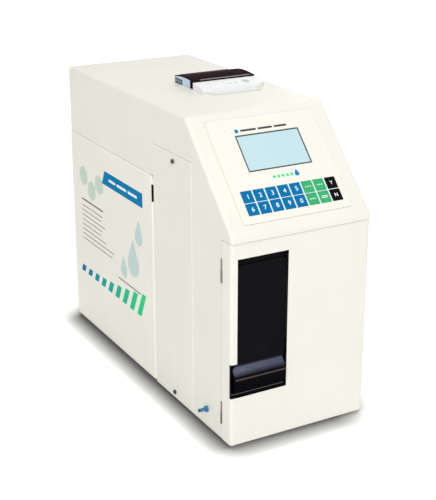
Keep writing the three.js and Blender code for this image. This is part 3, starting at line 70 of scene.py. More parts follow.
# Light: a pale world, and soft lamps before, above and behind
world_strength = 0.48
lamp_distance = 3.0
lamp_size = 2.0
lamps_aim = (0, 0, 0.15)
lamps = {
    "lamp_front": {"toward": (-0.38, -0.72, 0.58), "level": 0.5},
    "lamp_top": {"toward": (-0.15, -0.22, 0.96), "level": 0.17},
    "lamp_left": {"toward": (-0.95, -0.1, 0.3), "level": 0.03},
    "lamp_rear": {"toward": (0.75, 0.55, 0.36), "level": 0.2},
}

# Floor: its real albedo lights the part, and the camera sees it paler, with a painted shadow as a dark rim
# round the part
floor_size = 12.0
floor_albedo = 0.88
floor_shown = (1.25, 2.4)  # albedo that the camera sees, near and far
floor_near, floor_far = 0.5, 3.0
# The occlusion and the rim below are painted shade: they darken the floor's colour, not its light, and
# painted light is added under the part's edges
contact_reach = 0.03  # how far the occlusion looks
contact_dark = 0.5  # share of light that it leaves beside a wall
contact_from = (0.5, 1.0)  # occlusion beside a wall and away from it
shade_reach = 0.031  # width of the rim beside the part
shade_dark = 0.33  # share of light that the rim leaves at its inner end
front_reach = 0.038  # width of the rim before the door
front_dark = 0.45
front_turn = 0.006  # stretch over which one rim turns into the other
shade_fade = 0.036  # how far before the right side the rim starts to fade
under_reach = 0.01  # how far under the part light is given back
under_share = 0.43
covered_from = (0.45, 0.25)  # occlusion at the part's edge and well below its floor
open_from = (0.68, 1.0)  # occlusion where the rim is whole and where nothing stands

# Colours, as red, green and blue from 0 to 255
cream = (240, 238, 227)
cream_pack = (244, 241, 231)
ivory = (243, 241, 231)
blue = (2, 114, 170)
green = (60, 176, 112)
label_blue = (30, 132, 184)
label_green = (58, 224, 144)

# Directions that faces look along, as the right and up of someone looking at them
press = Vector(next(j for j in frame["joints"] if j["name"] == "key_1_press")["axis"])
right = Vector((1, 0, 0))
up = Vector((0, 0, 1))
back = Vector((0, 1, 0))
front_view = (right, up)
left_view = (-back, up)
rear_view = (-right, up)
slope_view = (right, (-press).cross(right).normalized())


def linear(colour):
    """A colour's shares of light, from its sRGB values."""
    shares = [c / 255 for c in colour]
    return tuple(c / 12.92 if c <= 0.04045 else ((c + 0.055) / 1.055) ** 2.4 for c in shares)


def rgba(colour, share=1.0):
    """A colour for a socket, made darker or paler by a share."""
    return tuple(min(c * share, 1.0) for c in linear(colour)) + (1.0,)


# Materials


class Nodes:
    """Short ways to add shader nodes to a tree."""

    def __init__(self, tree):
        self.tree = tree

    def add(self, kind, values=None, **settings):
        node = self.tree.nodes.new(kind)
        for name, value in settings.items():
            setattr(node, name, value)
        for socket, value in (values or {}).items():
            self.feed(node.inputs[socket], value)
        return node

    def feed(self, socket, value):
        if isinstance(value, bpy.types.NodeSocket):
            self.tree.links.new(value, socket)
        else:
            socket.default_value = value

    def math(self, operation, first, second):
        return self.add("ShaderNodeMath", {0: first, 1: second}, operation=operation).outputs[0]

    def vector_math(self, operation, first, second=(0, 0, 0)):
        return self.add("ShaderNodeVectorMath", {0: first, 1: second}, operation=operation).outputs

    def product(self, *values):
        """The product of several values."""
        total = values[0]
        for value in values[1:]:
            total = self.math("MULTIPLY", total, value)
        return total

    def spread(self, value, low, high, start=0.3, end=0.7):
        """Low where the value is at the start, high where it is at the end."""
        sockets = {"Value": value, "From Min": start, "From Max": end, "To Min": low, "To Max": high}
        return self.add("ShaderNodeMapRange", sockets).outputs["Result"]

    def parts(self, vector):
        return self.add("ShaderNodeSeparateXYZ", {0: vector}).outputs

    def grey(self, value):
        return self.add("ShaderNodeCombineColor", {0: value, 1: value, 2: value}).outputs[0]


class Look(Nodes):
    """A material made of nodes round one principled shader."""

    socket_names = {"color": "Base Color", "specular": "Specular IOR Level", "ior": "IOR",
                    "transmission": "Transmission Weight", "subsurface": "Subsurface Weight"}

    def __init__(self, name):
        self.material = bpy.data.materials.new(name)
        self.material.use_nodes = True
        super().__init__(self.material.node_tree)
        self.shader = self.tree.nodes["Principled BSDF"]
        self.where = self.add("ShaderNodeTexCoord").outputs["Object"]

    def noise(self, size, detail=2.0, stretch=(1, 1, 1)):
        scale = tuple(s / size for s in stretch)
        where = self.add("ShaderNodeMapping", {"Vector": self.where, "Scale": scale}).outputs[0]
        sockets = {"Vector": where, "Scale": 1.0, "Detail": detail}
        return self.add("ShaderNodeTexNoise", sockets).outputs["Fac"]

    def mix(self, factor, first, second, blend="MIX"):
        node = self.add("ShaderNodeMix", data_type="RGBA", blend_type=blend)
        for socket, value in ((0, factor), (6, first), (7, second)):
            self.feed(node.inputs[socket], value)
        return node.outputs[2]

    def edges(self, radius):
        """1 beside sharp edges, as far as the radius, and 0 on flat stretches."""
        bevel = self.add("ShaderNodeBevel", {"Radius": radius}, samples=4)
        flat = self.add("ShaderNodeNewGeometry").outputs["Normal"]
        likeness = self.vector_math("DOT_PRODUCT", bevel.outputs["Normal"], flat)["Value"]
        return self.spread(likeness, 1.0, 0.0, start=0.88, end=0.995)

    def band(self, value, low, high, fade):
        """1 where the value lies between low and high, with a short fade at each end."""
        above = self.spread(value, 0.0, 1.0, start=low, end=low + fade)
        below = self.spread(value, 1.0, 0.0, start=high, end=high + fade)
        return self.product(above, below)

    def tinted(self, colour, size, darkest):
        """A colour that soft patches make a little darker."""
        tint = self.grey(self.spread(self.noise(size), darkest, 1.0))
        return self.mix(1.0, colour, tint, "MULTIPLY")

    def set(self, **sockets):
        for name, value in sockets.items():
            self.feed(self.shader.inputs[self.socket_names.get(name, name.capitalize())], value)
        return self


def painted(look, boxes, colour):
    """Gives a look another colour inside some boxes."""
    place = look.parts(look.where)
    base = look.shader.inputs["Base Color"].links[0].from_socket
    for corners in boxes:
        tests = []
        for axis, low, high in zip("XYZ", *corners):
            tests.append(look.math("GREATER_THAN", place[axis], low))
            tests.append(look.math("LESS_THAN", place[axis], high))
        base = look.mix(look.product(*tests), base, rgba(colour))
    look.set(color=base)


def surface(name, colour, roughness, tone=0.03, tone_size=70 * mm, grain=0.08, grain_size=0.6 * mm,
            gloss_spread=0.06, wear_and_highlight=None, wear_and_highlight_radius=0.5 * mm, wear_and_highlight_amount=0.5, stretch=(1, 1, 1),
            **sockets):
    """A finish whose tone, gloss and fine grain vary over the surface, and whose edges can be recoloured as
    wear and painted highlight.
    """
    look = Look(name)
    soft = look.noise(tone_size, 3.0, stretch)
    base = look.mix(look.spread(soft, 0.0, 1.0), rgba(colour, 1 - tone), rgba(colour, 1 + tone))
    # Edge colour, broken by noise: part wear, part a painted highlight where a rounded edge would catch light
    if wear_and_highlight:
        mask = look.edges(wear_and_highlight_radius)
        broken = look.spread(look.noise(tone_size / 8, 4.0), 0.4, 1.0)
        base = look.mix(look.product(mask, broken, wear_and_highlight_amount), base, rgba(wear_and_highlight))
    streaks = look.noise(tone_size / 3, 2.0, stretch)
    gloss = look.spread(streaks, roughness - gloss_spread, roughness + gloss_spread)
    fine = look.noise(grain_size, 2.0, stretch)
    bump = look.add("ShaderNodeBump", {"Strength": grain, "Distance": 0.1 * mm, "Height": fine})
    look.set(color=base, roughness=gloss, normal=bump.outputs["Normal"], **sockets)
    return look


def gradient(name, start, end, reach):
    """A print that runs along Y from one colour to another."""
    look = surface(name, start, 0.35, grain=0.02, gloss_spread=0.02, specular=0.0)
    share = look.spread(look.parts(look.where)["Y"], 0.0, 1.0, *reach)
    return look.set(color=look.tinted(look.mix(share, rgba(start), rgba(end)), 12 * mm, 0.97))


# The edge colours in this table are part wear and part painted highlight
looks = {
    "housing": surface("housing_cream", cream, 0.42, tone=0.018, wear_and_highlight=(250, 249, 243), wear_and_highlight_amount=0.35,
                       specular=0.35),
    "door": surface("door_cream", ivory, 0.4, tone=0.015, wear_and_highlight=(252, 251, 246), wear_and_highlight_amount=0.4,
                    specular=0.35),
    "pack": surface("pack_cream", cream_pack, 0.45, tone=0.02, wear_and_highlight=(250, 248, 240), wear_and_highlight_amount=0.3,
                    specular=0.35),
    "film": surface("console_film", (242, 240, 229), 0.38, tone=0.01, grain=0.05, grain_size=0.9 * mm,
                    specular=0.3),
    "chassis": surface("zinc_sheet", (168, 172, 174), 0.38, tone=0.08, tone_size=16 * mm, metallic=0.85,
                       grain=0.06, stretch=(1, 1, 0.15)),
    "steel": surface("brushed_steel", (178, 180, 183), 0.3, tone=0.1, tone_size=6 * mm, metallic=1.0,
                     grain=0.15, grain_size=0.4 * mm, stretch=(0.1, 1, 1)),
    "hinge": surface("hinge_steel", (122, 118, 108), 0.5, tone=0.12, tone_size=4 * mm, metallic=0.6,
                     grain=0.15, grain_size=0.4 * mm, specular=0.2),
    "screw": surface("blackened_steel", (72, 72, 74), 0.35, tone=0.12, tone_size=2 * mm, metallic=0.9,
                     wear_and_highlight=(190, 190, 190), wear_and_highlight_radius=0.25 * mm),
    "rubber": surface("rubber", (26, 26, 27), 0.85, tone=0.12, tone_size=8 * mm, grain=0.4,
                      grain_size=0.4 * mm, specular=0.2),
    "panel": surface("sampler_panel", (15, 14, 18), 0.3, tone=0.12, tone_size=40 * mm, grain=0.05,
                     wear_and_highlight=(62, 48, 46), wear_and_highlight_radius=1.2 * mm, wear_and_highlight_amount=0.5, specular=0.03),
    "probe": surface("probe_steel", (196, 199, 203), 0.18, tone=0.06, tone_size=3 * mm, metallic=1.0,
                     grain=0.05, stretch=(1, 1, 0.1)),
    "clear": surface("electrode_acrylic", (206, 222, 228), 0.15, tone=0.02, grain=0.0, transmission=0.4,
                     ior=1.49),
    "holder": surface("holder_plastic", (222, 224, 222), 0.4, tone=0.03, tone_size=20 * mm, specular=0.4),
    "latch": surface("latch_plastic", (60, 110, 150), 0.35, tone=0.05, tone_size=15 * mm, specular=0.4),
    "valve": surface("valve_plastic", (231, 230, 222), 0.4, tone=0.03, tone_size=12 * mm),
    "pump": surface("pump_plastic", (42, 44, 48), 0.45, tone=0.08, tone_size=15 * mm, grain=0.15,
                    specular=0.3),
    "rotor": surface("rotor_plastic", (226, 226, 220), 0.32, tone=0.03, tone_size=8 * mm),
    "tube": surface("silicone", (225, 228, 222), 0.35, tone=0.04, tone_size=6 * mm, subsurface=0.3),
    "port": surface("port_blue", (44, 122, 170), 0.3, tone=0.06, tone_size=5 * mm, wear_and_highlight=(96, 160, 196),
                    wear_and_highlight_radius=0.3 * mm, specular=0.3),
    "connector": surface("connector_plastic", (232, 230, 222), 0.4, tone=0.03, tone_size=10 * mm),
    "rim": surface("display_rim", (66, 72, 76), 0.4, tone=0.08, tone_size=12 * mm),
    "key_blue": surface("key_blue", blue, 0.4, tone=0.05, tone_size=9 * mm, wear_and_highlight=(60, 150, 198),
                        wear_and_highlight_radius=0.3 * mm, wear_and_highlight_amount=0.4, specular=0.08),
    "key_green": surface("key_green", green, 0.4, tone=0.05, tone_size=9 * mm, wear_and_highlight=(110, 198, 145),
                         wear_and_highlight_radius=0.3 * mm, wear_and_highlight_amount=0.4, specular=0.1),
    "key_black": surface("key_black", (14, 12, 11), 0.45, tone=0.1, tone_size=9 * mm, wear_and_highlight=(60, 56, 52),
                         wear_and_highlight_radius=0.3 * mm, wear_and_highlight_amount=0.4, specular=0.04),
    "legend": surface("legend_white", (244, 248, 250), 0.4, tone=0.02, tone_size=3 * mm),
    "printer": surface("printer_white", (236, 237, 237), 0.34, tone=0.012, tone_size=30 * mm, specular=0.25),
    "lid": surface("smoked_lid", (38, 17, 23), 0.3, tone=0.2, tone_size=14 * mm, grain=0.0, wear_and_highlight=(66, 50, 54),
                   wear_and_highlight_radius=0.5 * mm, wear_and_highlight_amount=0.6, specular=0.001),
    "bar": surface("tear_bar", (112, 113, 119), 0.5, tone=0.08, tone_size=5 * mm, metallic=0.6,
                   grain=0.1, grain_size=0.4 * mm, stretch=(0.1, 1, 1), specular=0.1),
    "end_cap": surface("end_cap_plastic", (194, 217, 236), 0.35, tone=0.05, tone_size=8 * mm,
                       wear_and_highlight=(205, 220, 234), wear_and_highlight_radius=0.4 * mm, specular=0.2),
    "recess": surface("recess_black", (22, 24, 28), 0.6, tone=0.15, tone_size=4 * mm, specular=0.2),
    "paper": surface("thermal_paper", (247, 246, 240), 0.8, tone=0.02, tone_size=4 * mm, grain=0.12,
                     grain_size=0.25 * mm, specular=0.2),
    "feed": surface("feed_green", (170, 216, 196), 0.35, tone=0.04, tone_size=4 * mm),
    "lamp": surface("lamp_lens", (206, 210, 211), 0.25, tone=0.05, tone_size=2 * mm),
    "board": surface("board_laminate", (28, 96, 60), 0.35, tone=0.12, tone_size=10 * mm, grain=0.1,
                     specular=0.4),
    "supply": surface("supply_case", (188, 190, 190), 0.4, tone=0.06, tone_size=14 * mm, metallic=0.8),
    "inlet": surface("inlet_plastic", (24, 24, 25), 0.45, tone=0.12, tone_size=8 * mm, grain=0.15,
                     specular=0.25),
    "rocker": surface("rocker_plastic", (20, 20, 21), 0.3, tone=0.1, tone_size=6 * mm, specular=0.3,
                      wear_and_highlight=(80, 80, 82), wear_and_highlight_radius=0.4 * mm),
    "magnet": surface("magnet_case", (92, 62, 44), 0.5, tone=0.08, tone_size=8 * mm),
    "ink": surface("ink_grey", (72, 76, 80), 0.5, tone=0.08, tone_size=5 * mm, specular=0.08),
    "dot": surface("ink_blue", label_blue, 0.4, tone=0.05, tone_size=3 * mm, specular=0.0),
    "leaf": surface("ink_green", label_green, 0.4, tone=0.05, tone_size=3 * mm, specular=0.0),
    "label_film": surface("label_film", (245, 242, 231), 0.4, tone=0.008, grain=0.02, gloss_spread=0.02,
                          specular=0.2),
    "gold": surface("contact_gold", (212, 172, 92), 0.25, tone=0.06, tone_size=2 * mm, metallic=1.0),
}


def display_look():
    """The window: a pale liquid-crystal panel with its grid of cells."""
    look = surface("display_glass", (195, 223, 230), 0.12, tone=0.012, tone_size=40 * mm, grain=0.0,
                   specular=0.35)
    cell = 0.55 * mm
    turn = (-slope_view[1].angle(back), 0, 0)
    sockets = {"Vector": look.where, "Rotation": turn, "Scale": (1 / cell, 1 / cell, 1 / cell)}
    where = look.add("ShaderNodeMapping", sockets).outputs[0]
    sizes = {"Scale": 1.0, "Mortar Size": 0.07, "Brick Width": 1.0, "Row Height": 1.0}
    colours = {"Color1": (197, 225, 232), "Color2": (195, 223, 230), "Mortar": (189, 218, 226)}
    sockets = {"Vector": where, **sizes, **{name: rgba(colour) for name, colour in colours.items()}}
    return look.set(color=look.add("ShaderNodeTexBrick", sockets, offset=0.0).outputs["Color"])


nose_low, nose_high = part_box("sampler_nose")
# Heights of the painted highlight lines on the nose, and of its painted sheen
nose_ridge = nose_low[2] + 4.1 * mm
nose_ridge_width = 0.9 * mm
nose_crease = nose_low[2] + 22.7 * mm
nose_crease_half = 1.2 * mm
nose_brow = nose_low[2] + 32.2 * mm
nose_rim = (nose_brow - 2.7 * mm, nose_brow + 1.2 * mm)
nose_end = nose_low[0] + 2.4 * mm
nose_fade = 0.2 * mm


def nose_look():
    """Black plastic with painted light: a bluish painted sheen fading down the upper slope, and painted
    highlight lines on the crease (brown) and the foot (grey).
    """
    look = surface("nose_plastic", (10, 8, 16), 0.3, grain=0.02, specular=0.012)
    place = look.parts(look.where)
    facing = look.parts(look.add("ShaderNodeNewGeometry").outputs["Normal"])
    rise = facing["Z"]
    front = look.spread(facing["Y"], 1.0, 0.0, start=-0.5, end=-0.3)
    inward = look.spread(place["X"], 0.0, 1.0, start=nose_end, end=nose_end + nose_fade)
    across = look.spread(place["X"], 0.0, 1.0, start=nose_low[0], end=nose_high[0])
    height = look.spread(place["Z"], 0.0, 1.0, start=nose_crease, end=nose_brow)

    painted_sheen = look.mix(across, rgba((102, 104, 124)), rgba((78, 83, 104)))
    slope = look.mix(look.spread(height, 0.0, 1.0, start=0.22, end=0.72), rgba((14, 11, 16)), painted_sheen)
    crease_ends = (nose_crease - nose_crease_half, nose_crease + nose_crease_half)
    crease = look.product(look.band(place["Z"], *crease_ends, nose_fade), front, inward)
    painted_crease_highlight = look.mix(crease, rgba((5, 4, 8)), rgba((78, 70, 66)))
    upper = look.mix(look.spread(rise, 0.0, 1.0, start=0.45, end=0.62), painted_crease_highlight, slope)
    # The painted sheen also runs over a strip round the brow, on the fronts of the flange and the cheek
    rim = look.product(look.band(place["Z"], *nose_rim, nose_fade), front, inward)
    upper = look.mix(rim, upper, painted_sheen)
    # Faces that look down are painted a shade darker
    face = look.mix(look.spread(rise, 0.0, 1.0, start=-0.2, end=-0.05), rgba((4, 3, 7)), upper)
    foot_highlight_band = look.band(place["Z"], nose_ridge, nose_ridge + nose_ridge_width, nose_fade / 2)
    lined = look.mix(look.product(foot_highlight_band, front), face, rgba((98, 96, 98)))
    return look.set(color=look.tinted(lined, 14 * mm, 0.85))


looks["display"] = display_look()
looks["nose"] = nose_look()

# Which look each CAD node wears, and how round its edges are, in mm
electrode_names = ["electrode_reference", "electrode_chloride", "electrode_potassium", "electrode_sodium"]
foot_names = [f"foot_{end}_{side}" for end in ("front", "rear") for side in ("left", "right")]
blue_keys = [f"key_{digit}" for digit in "1234567890"]
green_keys = [f"key_function_{letter}" for letter in "abcd"]
black_keys = ["key_yes", "key_no"]
cover_screws = ["side_cover_screw_upper", "side_cover_screw_lower"]
door_hinges = ["hinge_upper", "hinge_lower"]
dressed = {
    "housing": (0.5, ["main_housing", "side_cover"]),
    "door": (0.5, ["front_door"]),
    "pack": (0.6, ["reagent_pack"]),
    "film": (0.0, ["console_panel"]),
    "chassis": (0.2, ["inner_chassis", "connector_plate"]),
    "steel": (0.15, ["pump_motor"]),
    "hinge": (0.15, door_hinges),
    "screw": (0.12, cover_screws),
    "rubber": (0.4, foot_names + ["platen_roller"]),
    "panel": (0.3, ["sampler_frame"]),
    "nose": (0.25, ["sampler_nose"]),
    "probe": (0.15, ["sample_probe"]),
    "holder": (0.4, ["electrode_holder"]),
    "clear": (0.4, electrode_names),
    "latch": (0.4, ["electrode_latch"]),
    "valve": (0.4, ["solution_valve"]),
    "pump": (0.4, ["pump_head"]),
    "rotor": (0.25, ["pump_rotor"]),
    "tube": (0.0, ["pump_tube"]),
    "port": (0.15, ["waste_port"]),
    "connector": (0.3, ["reagent_connector"]),
    "rim": (0.0, ["display_module"]),
    "display": (0.1, ["display_window"]),
    "key_blue": (0.0, blue_keys),
    "key_green": (0.0, green_keys),
    "key_black": (0.0, black_keys),
    "printer": (0.4, ["printer_body"]),
    "lid": (0.25, ["printer_lid"]),
    "end_cap": (0.3, ["printer_end_cap"]),
    "paper": (0.2, ["paper_roll"]),
    "feed": (0.4, ["feed_button"]),
    "board": (0.1, ["main_board"]),
    "supply": (0.4, ["power_supply"]),
    "inlet": (0.3, ["power_inlet"]),
    "rocker": (0.3, ["power_rocker"]),
    "magnet": (0.3, ["door_magnet"]),
}


# Shading of the CAD nodes

weld_reach = 0.002 * mm
flat_angle = math.radians(0.4)
bevel_angle = math.radians(32)
smooth_angle = math.radians(36)
holed_corners = 16  # corners from which a face may have several holes


def smoothing_group():
    """Geometry nodes that shade a mesh smooth, but for the edges sharper than the smooth angle."""
    group = bpy.data.node_groups.new("smooth_by_angle", "GeometryNodeTree")
    for way in ("INPUT", "OUTPUT"):
        group.interface.new_socket("Geometry", in_out=way, socket_type="NodeSocketGeometry")
    add, link = group.nodes.new, group.links.new
    enter, leave = add("NodeGroupInput"), add("NodeGroupOutput")
    angle, sharper = add("GeometryNodeInputMeshEdgeAngle"), add("FunctionNodeCompare")
    soft, hard = add("GeometryNodeSetShadeSmooth"), add("GeometryNodeSetShadeSmooth")
    soft.domain, hard.domain = "FACE", "EDGE"
    hard.inputs["Shade Smooth"].default_value = False
    sharper.operation = "GREATER_THAN"
    sharper.inputs[1].default_value = smooth_angle
    link(enter.outputs[0], soft.inputs["Geometry"])
    link(soft.outputs[0], hard.inputs["Geometry"])
    link(angle.outputs["Unsigned Angle"], sharper.inputs[0])
    link(sharper.outputs[0], hard.inputs["Selection"])
    link(hard.outputs[0], leave.inputs[0])
    return group


smoothing = smoothing_group()


def refine(node, width):
    """Joins a node's facets into smooth faces and rounds its hard edges."""
    mesh = node.data
    if "custom_normal" in mesh.attributes:
        mesh.attributes.remove(mesh.attributes["custom_normal"])
    weld = node.modifiers.new("weld", "WELD")
    weld.merge_threshold = weld_reach
    if width:
        flatten = node.modifiers.new("flatten", "DECIMATE")
        flatten.decimate_type = "DISSOLVE"
        flatten.angle_limit = flat_angle
        # A face with several holes is split, because bevelling would tear it
        node.modifiers.new("split", "TRIANGULATE").min_vertices = holed_corners
        bevel = node.modifiers.new("bevel", "BEVEL")
        bevel.width = width
        bevel.segments = 2
        bevel.limit_method = "ANGLE"
        bevel.angle_limit = bevel_angle
        bevel.miter_outer = "MITER_ARC"
    node.modifiers.new("smooth", "NODES").node_group = smoothing
    node.modifiers.new("weights", "WEIGHTED_NORMAL").keep_sharp = True


for look_name, (edge, members) in dressed.items():
    for member in members:
        nodes[member].data.materials.clear()
        nodes[member].data.materials.append(looks[look_name].material)
        refine(nodes[member], edge * mm)


# Painted places, as boxes that reach past the surface by a margin

margin = 1 * mm

# Dark knuckles on the door, like the hinges below them
side_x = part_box("main_housing")[0][0]
knuckle_margin = 0.1 * mm
knuckle_inset = 0.02 * mm
knuckles = []
for hinge in door_hinges:
    low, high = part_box(hinge)
    radius = side_x - low[0]
    front_end = (low[0] - radius, low[1] - knuckle_margin, (low[2] + high[2]) / 2)
    rear_end = (side_x - knuckle_inset, low[1] + 2 * radius + knuckle_margin, high[2] + radius)
    knuckles.append((front_end, rear_end))
painted(looks["door"], knuckles, (120, 116, 106))

# Painted shade: the walls of the pack's finger slot, which reaches into the side cover, are painted near
# black
pack_low, pack_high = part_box("reagent_pack")
grip_middle = (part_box("side_cover")[1][1] + pack_low[1]) / 2
grip_half = 2.05 * mm
grip_top = pack_high[2] - 9.7 * mm
grip_foot = grip_top - 19.6 * mm
grip_depth = 9 * mm
grip_low = (pack_low[0] - margin, grip_middle - grip_half, grip_foot)
grip_high = (pack_low[0] + grip_depth, grip_middle + grip_half, grip_top)
for look in ("pack", "housing"):
    painted(looks[look], [(grip_low, grip_high)], (10, 10, 9))

# A painted highlight: a pale stripe along the slot in the heads of the side cover's screws
slot_half_width, slot_half_length, slot_depth = 0.3 * mm, 1.9 * mm, 1.5 * mm
slot_highlights = []
for screw in cover_screws:
    low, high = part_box(screw)
    y, z = (low[1] + high[1]) / 2, (low[2] + high[2]) / 2
    slot_low = (low[0] - margin, y - slot_half_width, z - slot_half_length)
    slot_high = (low[0] + slot_depth, y + slot_half_width, z + slot_half_length)
    slot_highlights.append((slot_low, slot_high))
painted(looks["screw"], slot_highlights, (176, 172, 156))

# Painted shade on the waste port's lower half, and a darker mouth
port_low, port_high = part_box("waste_port")
foot_start, foot_below = 6.5 * mm, 0.6 * mm
mouth_depth = 1.1 * mm
foot_top = (port_low[2] + port_high[2]) / 2 - foot_below
port_shaded_half = ((port_low[0] + foot_start, port_low[1] - margin, port_low[2] - margin),
             (port_high[0], port_high[1] + margin, foot_top))
port_mouth = ((port_low[0] - margin, port_low[1], port_low[2]),
              (port_low[0] + mouth_depth, port_high[1], port_high[2]))
painted(looks["port"], [port_shaded_half], (14, 84, 140))
painted(looks["port"], [port_mouth], (52, 84, 100))

# Painted light: a paler film between the keys, which lifts the shade in the gaps
key_boxes = [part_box(key) for key in blue_keys + green_keys + black_keys]
keypad_low = [min(low[i] for low, high in key_boxes) for i in range(3)]
keypad_high = [max(high[i] for low, high in key_boxes) for i in range(3)]
painted(looks["film"], [(keypad_low, keypad_high)], (228, 250, 255))

# Places on the CAD nodes

flat_reach = 0.02 * mm  # depth within which points lie on one face
ray_start = 10 * mm  # how far above a piece a ray starts that looks for its top


def basis(origin, view):
    """Frame with its x and y along the view's right and up, and its z out of the face."""
    across, upward = view
    matrix = Matrix((across, upward, across.cross(upward))).transposed().to_4x4()
    matrix.translation = origin
    return matrix


class Face:
    """The outermost flat face of a node as someone sees it: its frame, at its middle, and its size."""

    def __init__(self, name, view):
        across, upward = view
        out = across.cross(upward)
        points = [v.co for v in nodes[name].data.vertices]
        self.top = max(out.dot(p) for p in points)
        flat = [p for p in points if self.top - out.dot(p) < flat_reach]
        self.u = [f(across.dot(p) for p in flat) for f in (min, max)]
        self.v = [f(upward.dot(p) for p in flat) for f in (min, max)]
        self.view = view
        self.width = self.u[1] - self.u[0]
        self.height = self.v[1] - self.v[0]

    def at(self, u=0.5, v=0.5, du=0.0, dv=0.0, lift=0.0):
        """A frame at a share of the width and height, moved by du, dv and lift."""
        across, upward = self.view
        place = (
            across * (self.u[0] + u * self.width + du)
            + upward * (self.v[0] + v * self.height + dv)
            + across.cross(upward) * (self.top + lift)
        )
        return basis(place, self.view)


def hit(name, start, way):
    """Where a ray meets a node, and the normal there."""
    mesh = nodes[name].data
    tree = BVHTree.FromPolygons([v.co for v in mesh.vertices], [p.vertices for p in mesh.polygons])
    return tree.ray_cast(Vector(start), Vector(way))[:2]


def top_of(name, x, y):
    """The highest place of a node at x and y, and the normal there."""
    return hit(name, (x, y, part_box(name)[1][2] + ray_start), (0, 0, -1))


# Outlines, counter-clockwise


corner_steps = 5
drop_tip_share = 2.1  # height of a drop's tip, of its radius


def rounded(width, height, radius, centre=(0, 0)):
    """A rectangle with rounded corners."""
    points = []
    for i, (su, sv) in enumerate(((1, -1), (1, 1), (-1, 1), (-1, -1))):
        cu = centre[0] + su * (width / 2 - radius)
        cv = centre[1] + sv * (height / 2 - radius)
        for k in range(corner_steps + 1):
            angle = math.pi / 2 * (i - 1 + k / corner_steps)
            points.append((cu + radius * math.cos(angle), cv + radius * math.sin(angle)))
    return points


def disc(radius, centre=(0, 0), sides=32, start=0.0, end=2 * math.pi):
    """A circle or, with a start and an end, an arc."""
    full = end - start >= 2 * math.pi - 1e-6
    count = sides if full else sides + 1
    angles = [start + (end - start) * i / sides for i in range(count)]
    return [(centre[0] + radius * math.cos(a), centre[1] + radius * math.sin(a)) for a in angles]


def drop(radius, centre):
    """A drop: a round foot that narrows to a tip above it."""
    foot = disc(radius, centre, 28, math.radians(-220), math.radians(40))
    return foot + [(centre[0], centre[1] + drop_tip_share * radius)]


def hexagon(radius, centre):
    start = math.radians(30)
    return disc(radius, centre, 6, start, start + 2 * math.pi)


def rectangle(low_u, high_u, low_v, high_v):
    return [(low_u, low_v), (high_u, low_v), (high_u, high_v), (low_u, high_v)]


def row_of_bars(start, lengths, gap, height, radius, level=0.0):
    """Rounded bars in a row from the start, with gaps between them."""
    bars = []
    for length in lengths:
        bars.append(rounded(length, height, radius, (start + length / 2, level)))
        start += length + gap
    return bars


# Meshes

letter_weld = 0.005 * mm
top_reach = 0.001 * mm  # depth below a plate's top within which its rim lies


def finished(bm):
    mesh = bpy.data.meshes.new("mesh")
    bmesh.ops.recalc_face_normals(bm, faces=bm.faces)
    bm.to_mesh(mesh)
    bm.free()
    return mesh


def plates(outlines, thickness, edge=0.0):
    """Closed plates, one for each outline, from w = 0 up to their thickness, with rounded upper edges."""
    bm = bmesh.new()
    for outline in outlines:
        foot = bm.faces.new([bm.verts.new((u, v, 0)) for u, v in outline])
        grown = bmesh.ops.extrude_face_region(bm, geom=[foot])["geom"]
        rim = [g for g in grown if isinstance(g, bmesh.types.BMVert)]
        bmesh.ops.translate(bm, vec=(0, 0, thickness), verts=rim)
    bmesh.ops.recalc_face_normals(bm, faces=bm.faces)
    if edge:
        rims = [e for e in bm.edges if all(v.co.z > thickness - top_reach for v in e.verts)]
        bmesh.ops.bevel(bm, geom=rims, offset=edge, segments=2, profile=0.5, affect="EDGES")
    return finished(bm)


def turned(profile, sides):
    """A body turned round w, from a profile of (radius, w) points that starts and ends on the axis."""
    bm = bmesh.new()
    rings = []
    for radius, w in profile:
        if radius == 0:
            rings.append([bm.verts.new((0, 0, w))])
        else:
            rings.append([bm.verts.new((u, v, w)) for u, v in disc(radius, (0, 0), sides)])
    for low, high in zip(rings, rings[1:]):
        for i in range(sides):
            k = (i + 1) % sides
            corners = [low[i % len(low)], low[k % len(low)], high[k % len(high)], high[i % len(high)]]
            unique = list(dict.fromkeys(corners))
            if len(unique) > 2:
                bm.faces.new(unique)
    return finished(bm)


def letters(text, size, thickness, weight):
    """Raised characters, centred on the frame."""
    curve = bpy.data.curves.new("letters", "FONT")
    curve.body = text
    curve.size = size
    curve.extrude = thickness / 2
    curve.offset = weight
    curve.resolution_u = 5
    holder = bpy.data.objects.new("letters", curve)
    bpy.context.scene.collection.objects.link(holder)
    depsgraph = bpy.context.evaluated_depsgraph_get()
    mesh = bpy.data.meshes.new_from_object(holder.evaluated_get(depsgraph))
    bpy.data.objects.remove(holder)
    bpy.data.curves.remove(curve)
    bm = bmesh.new()
    bm.from_mesh(mesh)
    bpy.data.meshes.remove(mesh)
    bmesh.ops.remove_doubles(bm, verts=bm.verts, dist=letter_weld)
    spans = [[f(v.co[i] for v in bm.verts) for f in (min, max)] for i in range(3)]
    middle = Vector((sum(spans[0]) / 2, sum(spans[1]) / 2, spans[2][0]))
    bmesh.ops.translate(bm, vec=-middle, verts=bm.verts)
    return finished(bm)


def piece(name, mesh, look, body, place=None):
    """Puts a mesh into the scene as a named piece that rides on a body."""
    if place is not None:
        mesh.transform(place)
    mesh.name = name
    mesh.materials.clear()
    mesh.materials.append(looks[look].material)
    mesh.shade_smooth()
    mesh.set_sharp_from_angle(angle=smooth_angle)
    made = bpy.data.objects.new(name, mesh)
    bpy.context.scene.collection.objects.link(made)
    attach(made, body)


ink = 0.06 * mm  # thickness of a printed layer
relief = 0.12 * mm  # height of a raised legend

# Key legends: digits, Y and N, and plain signs on the four green keys

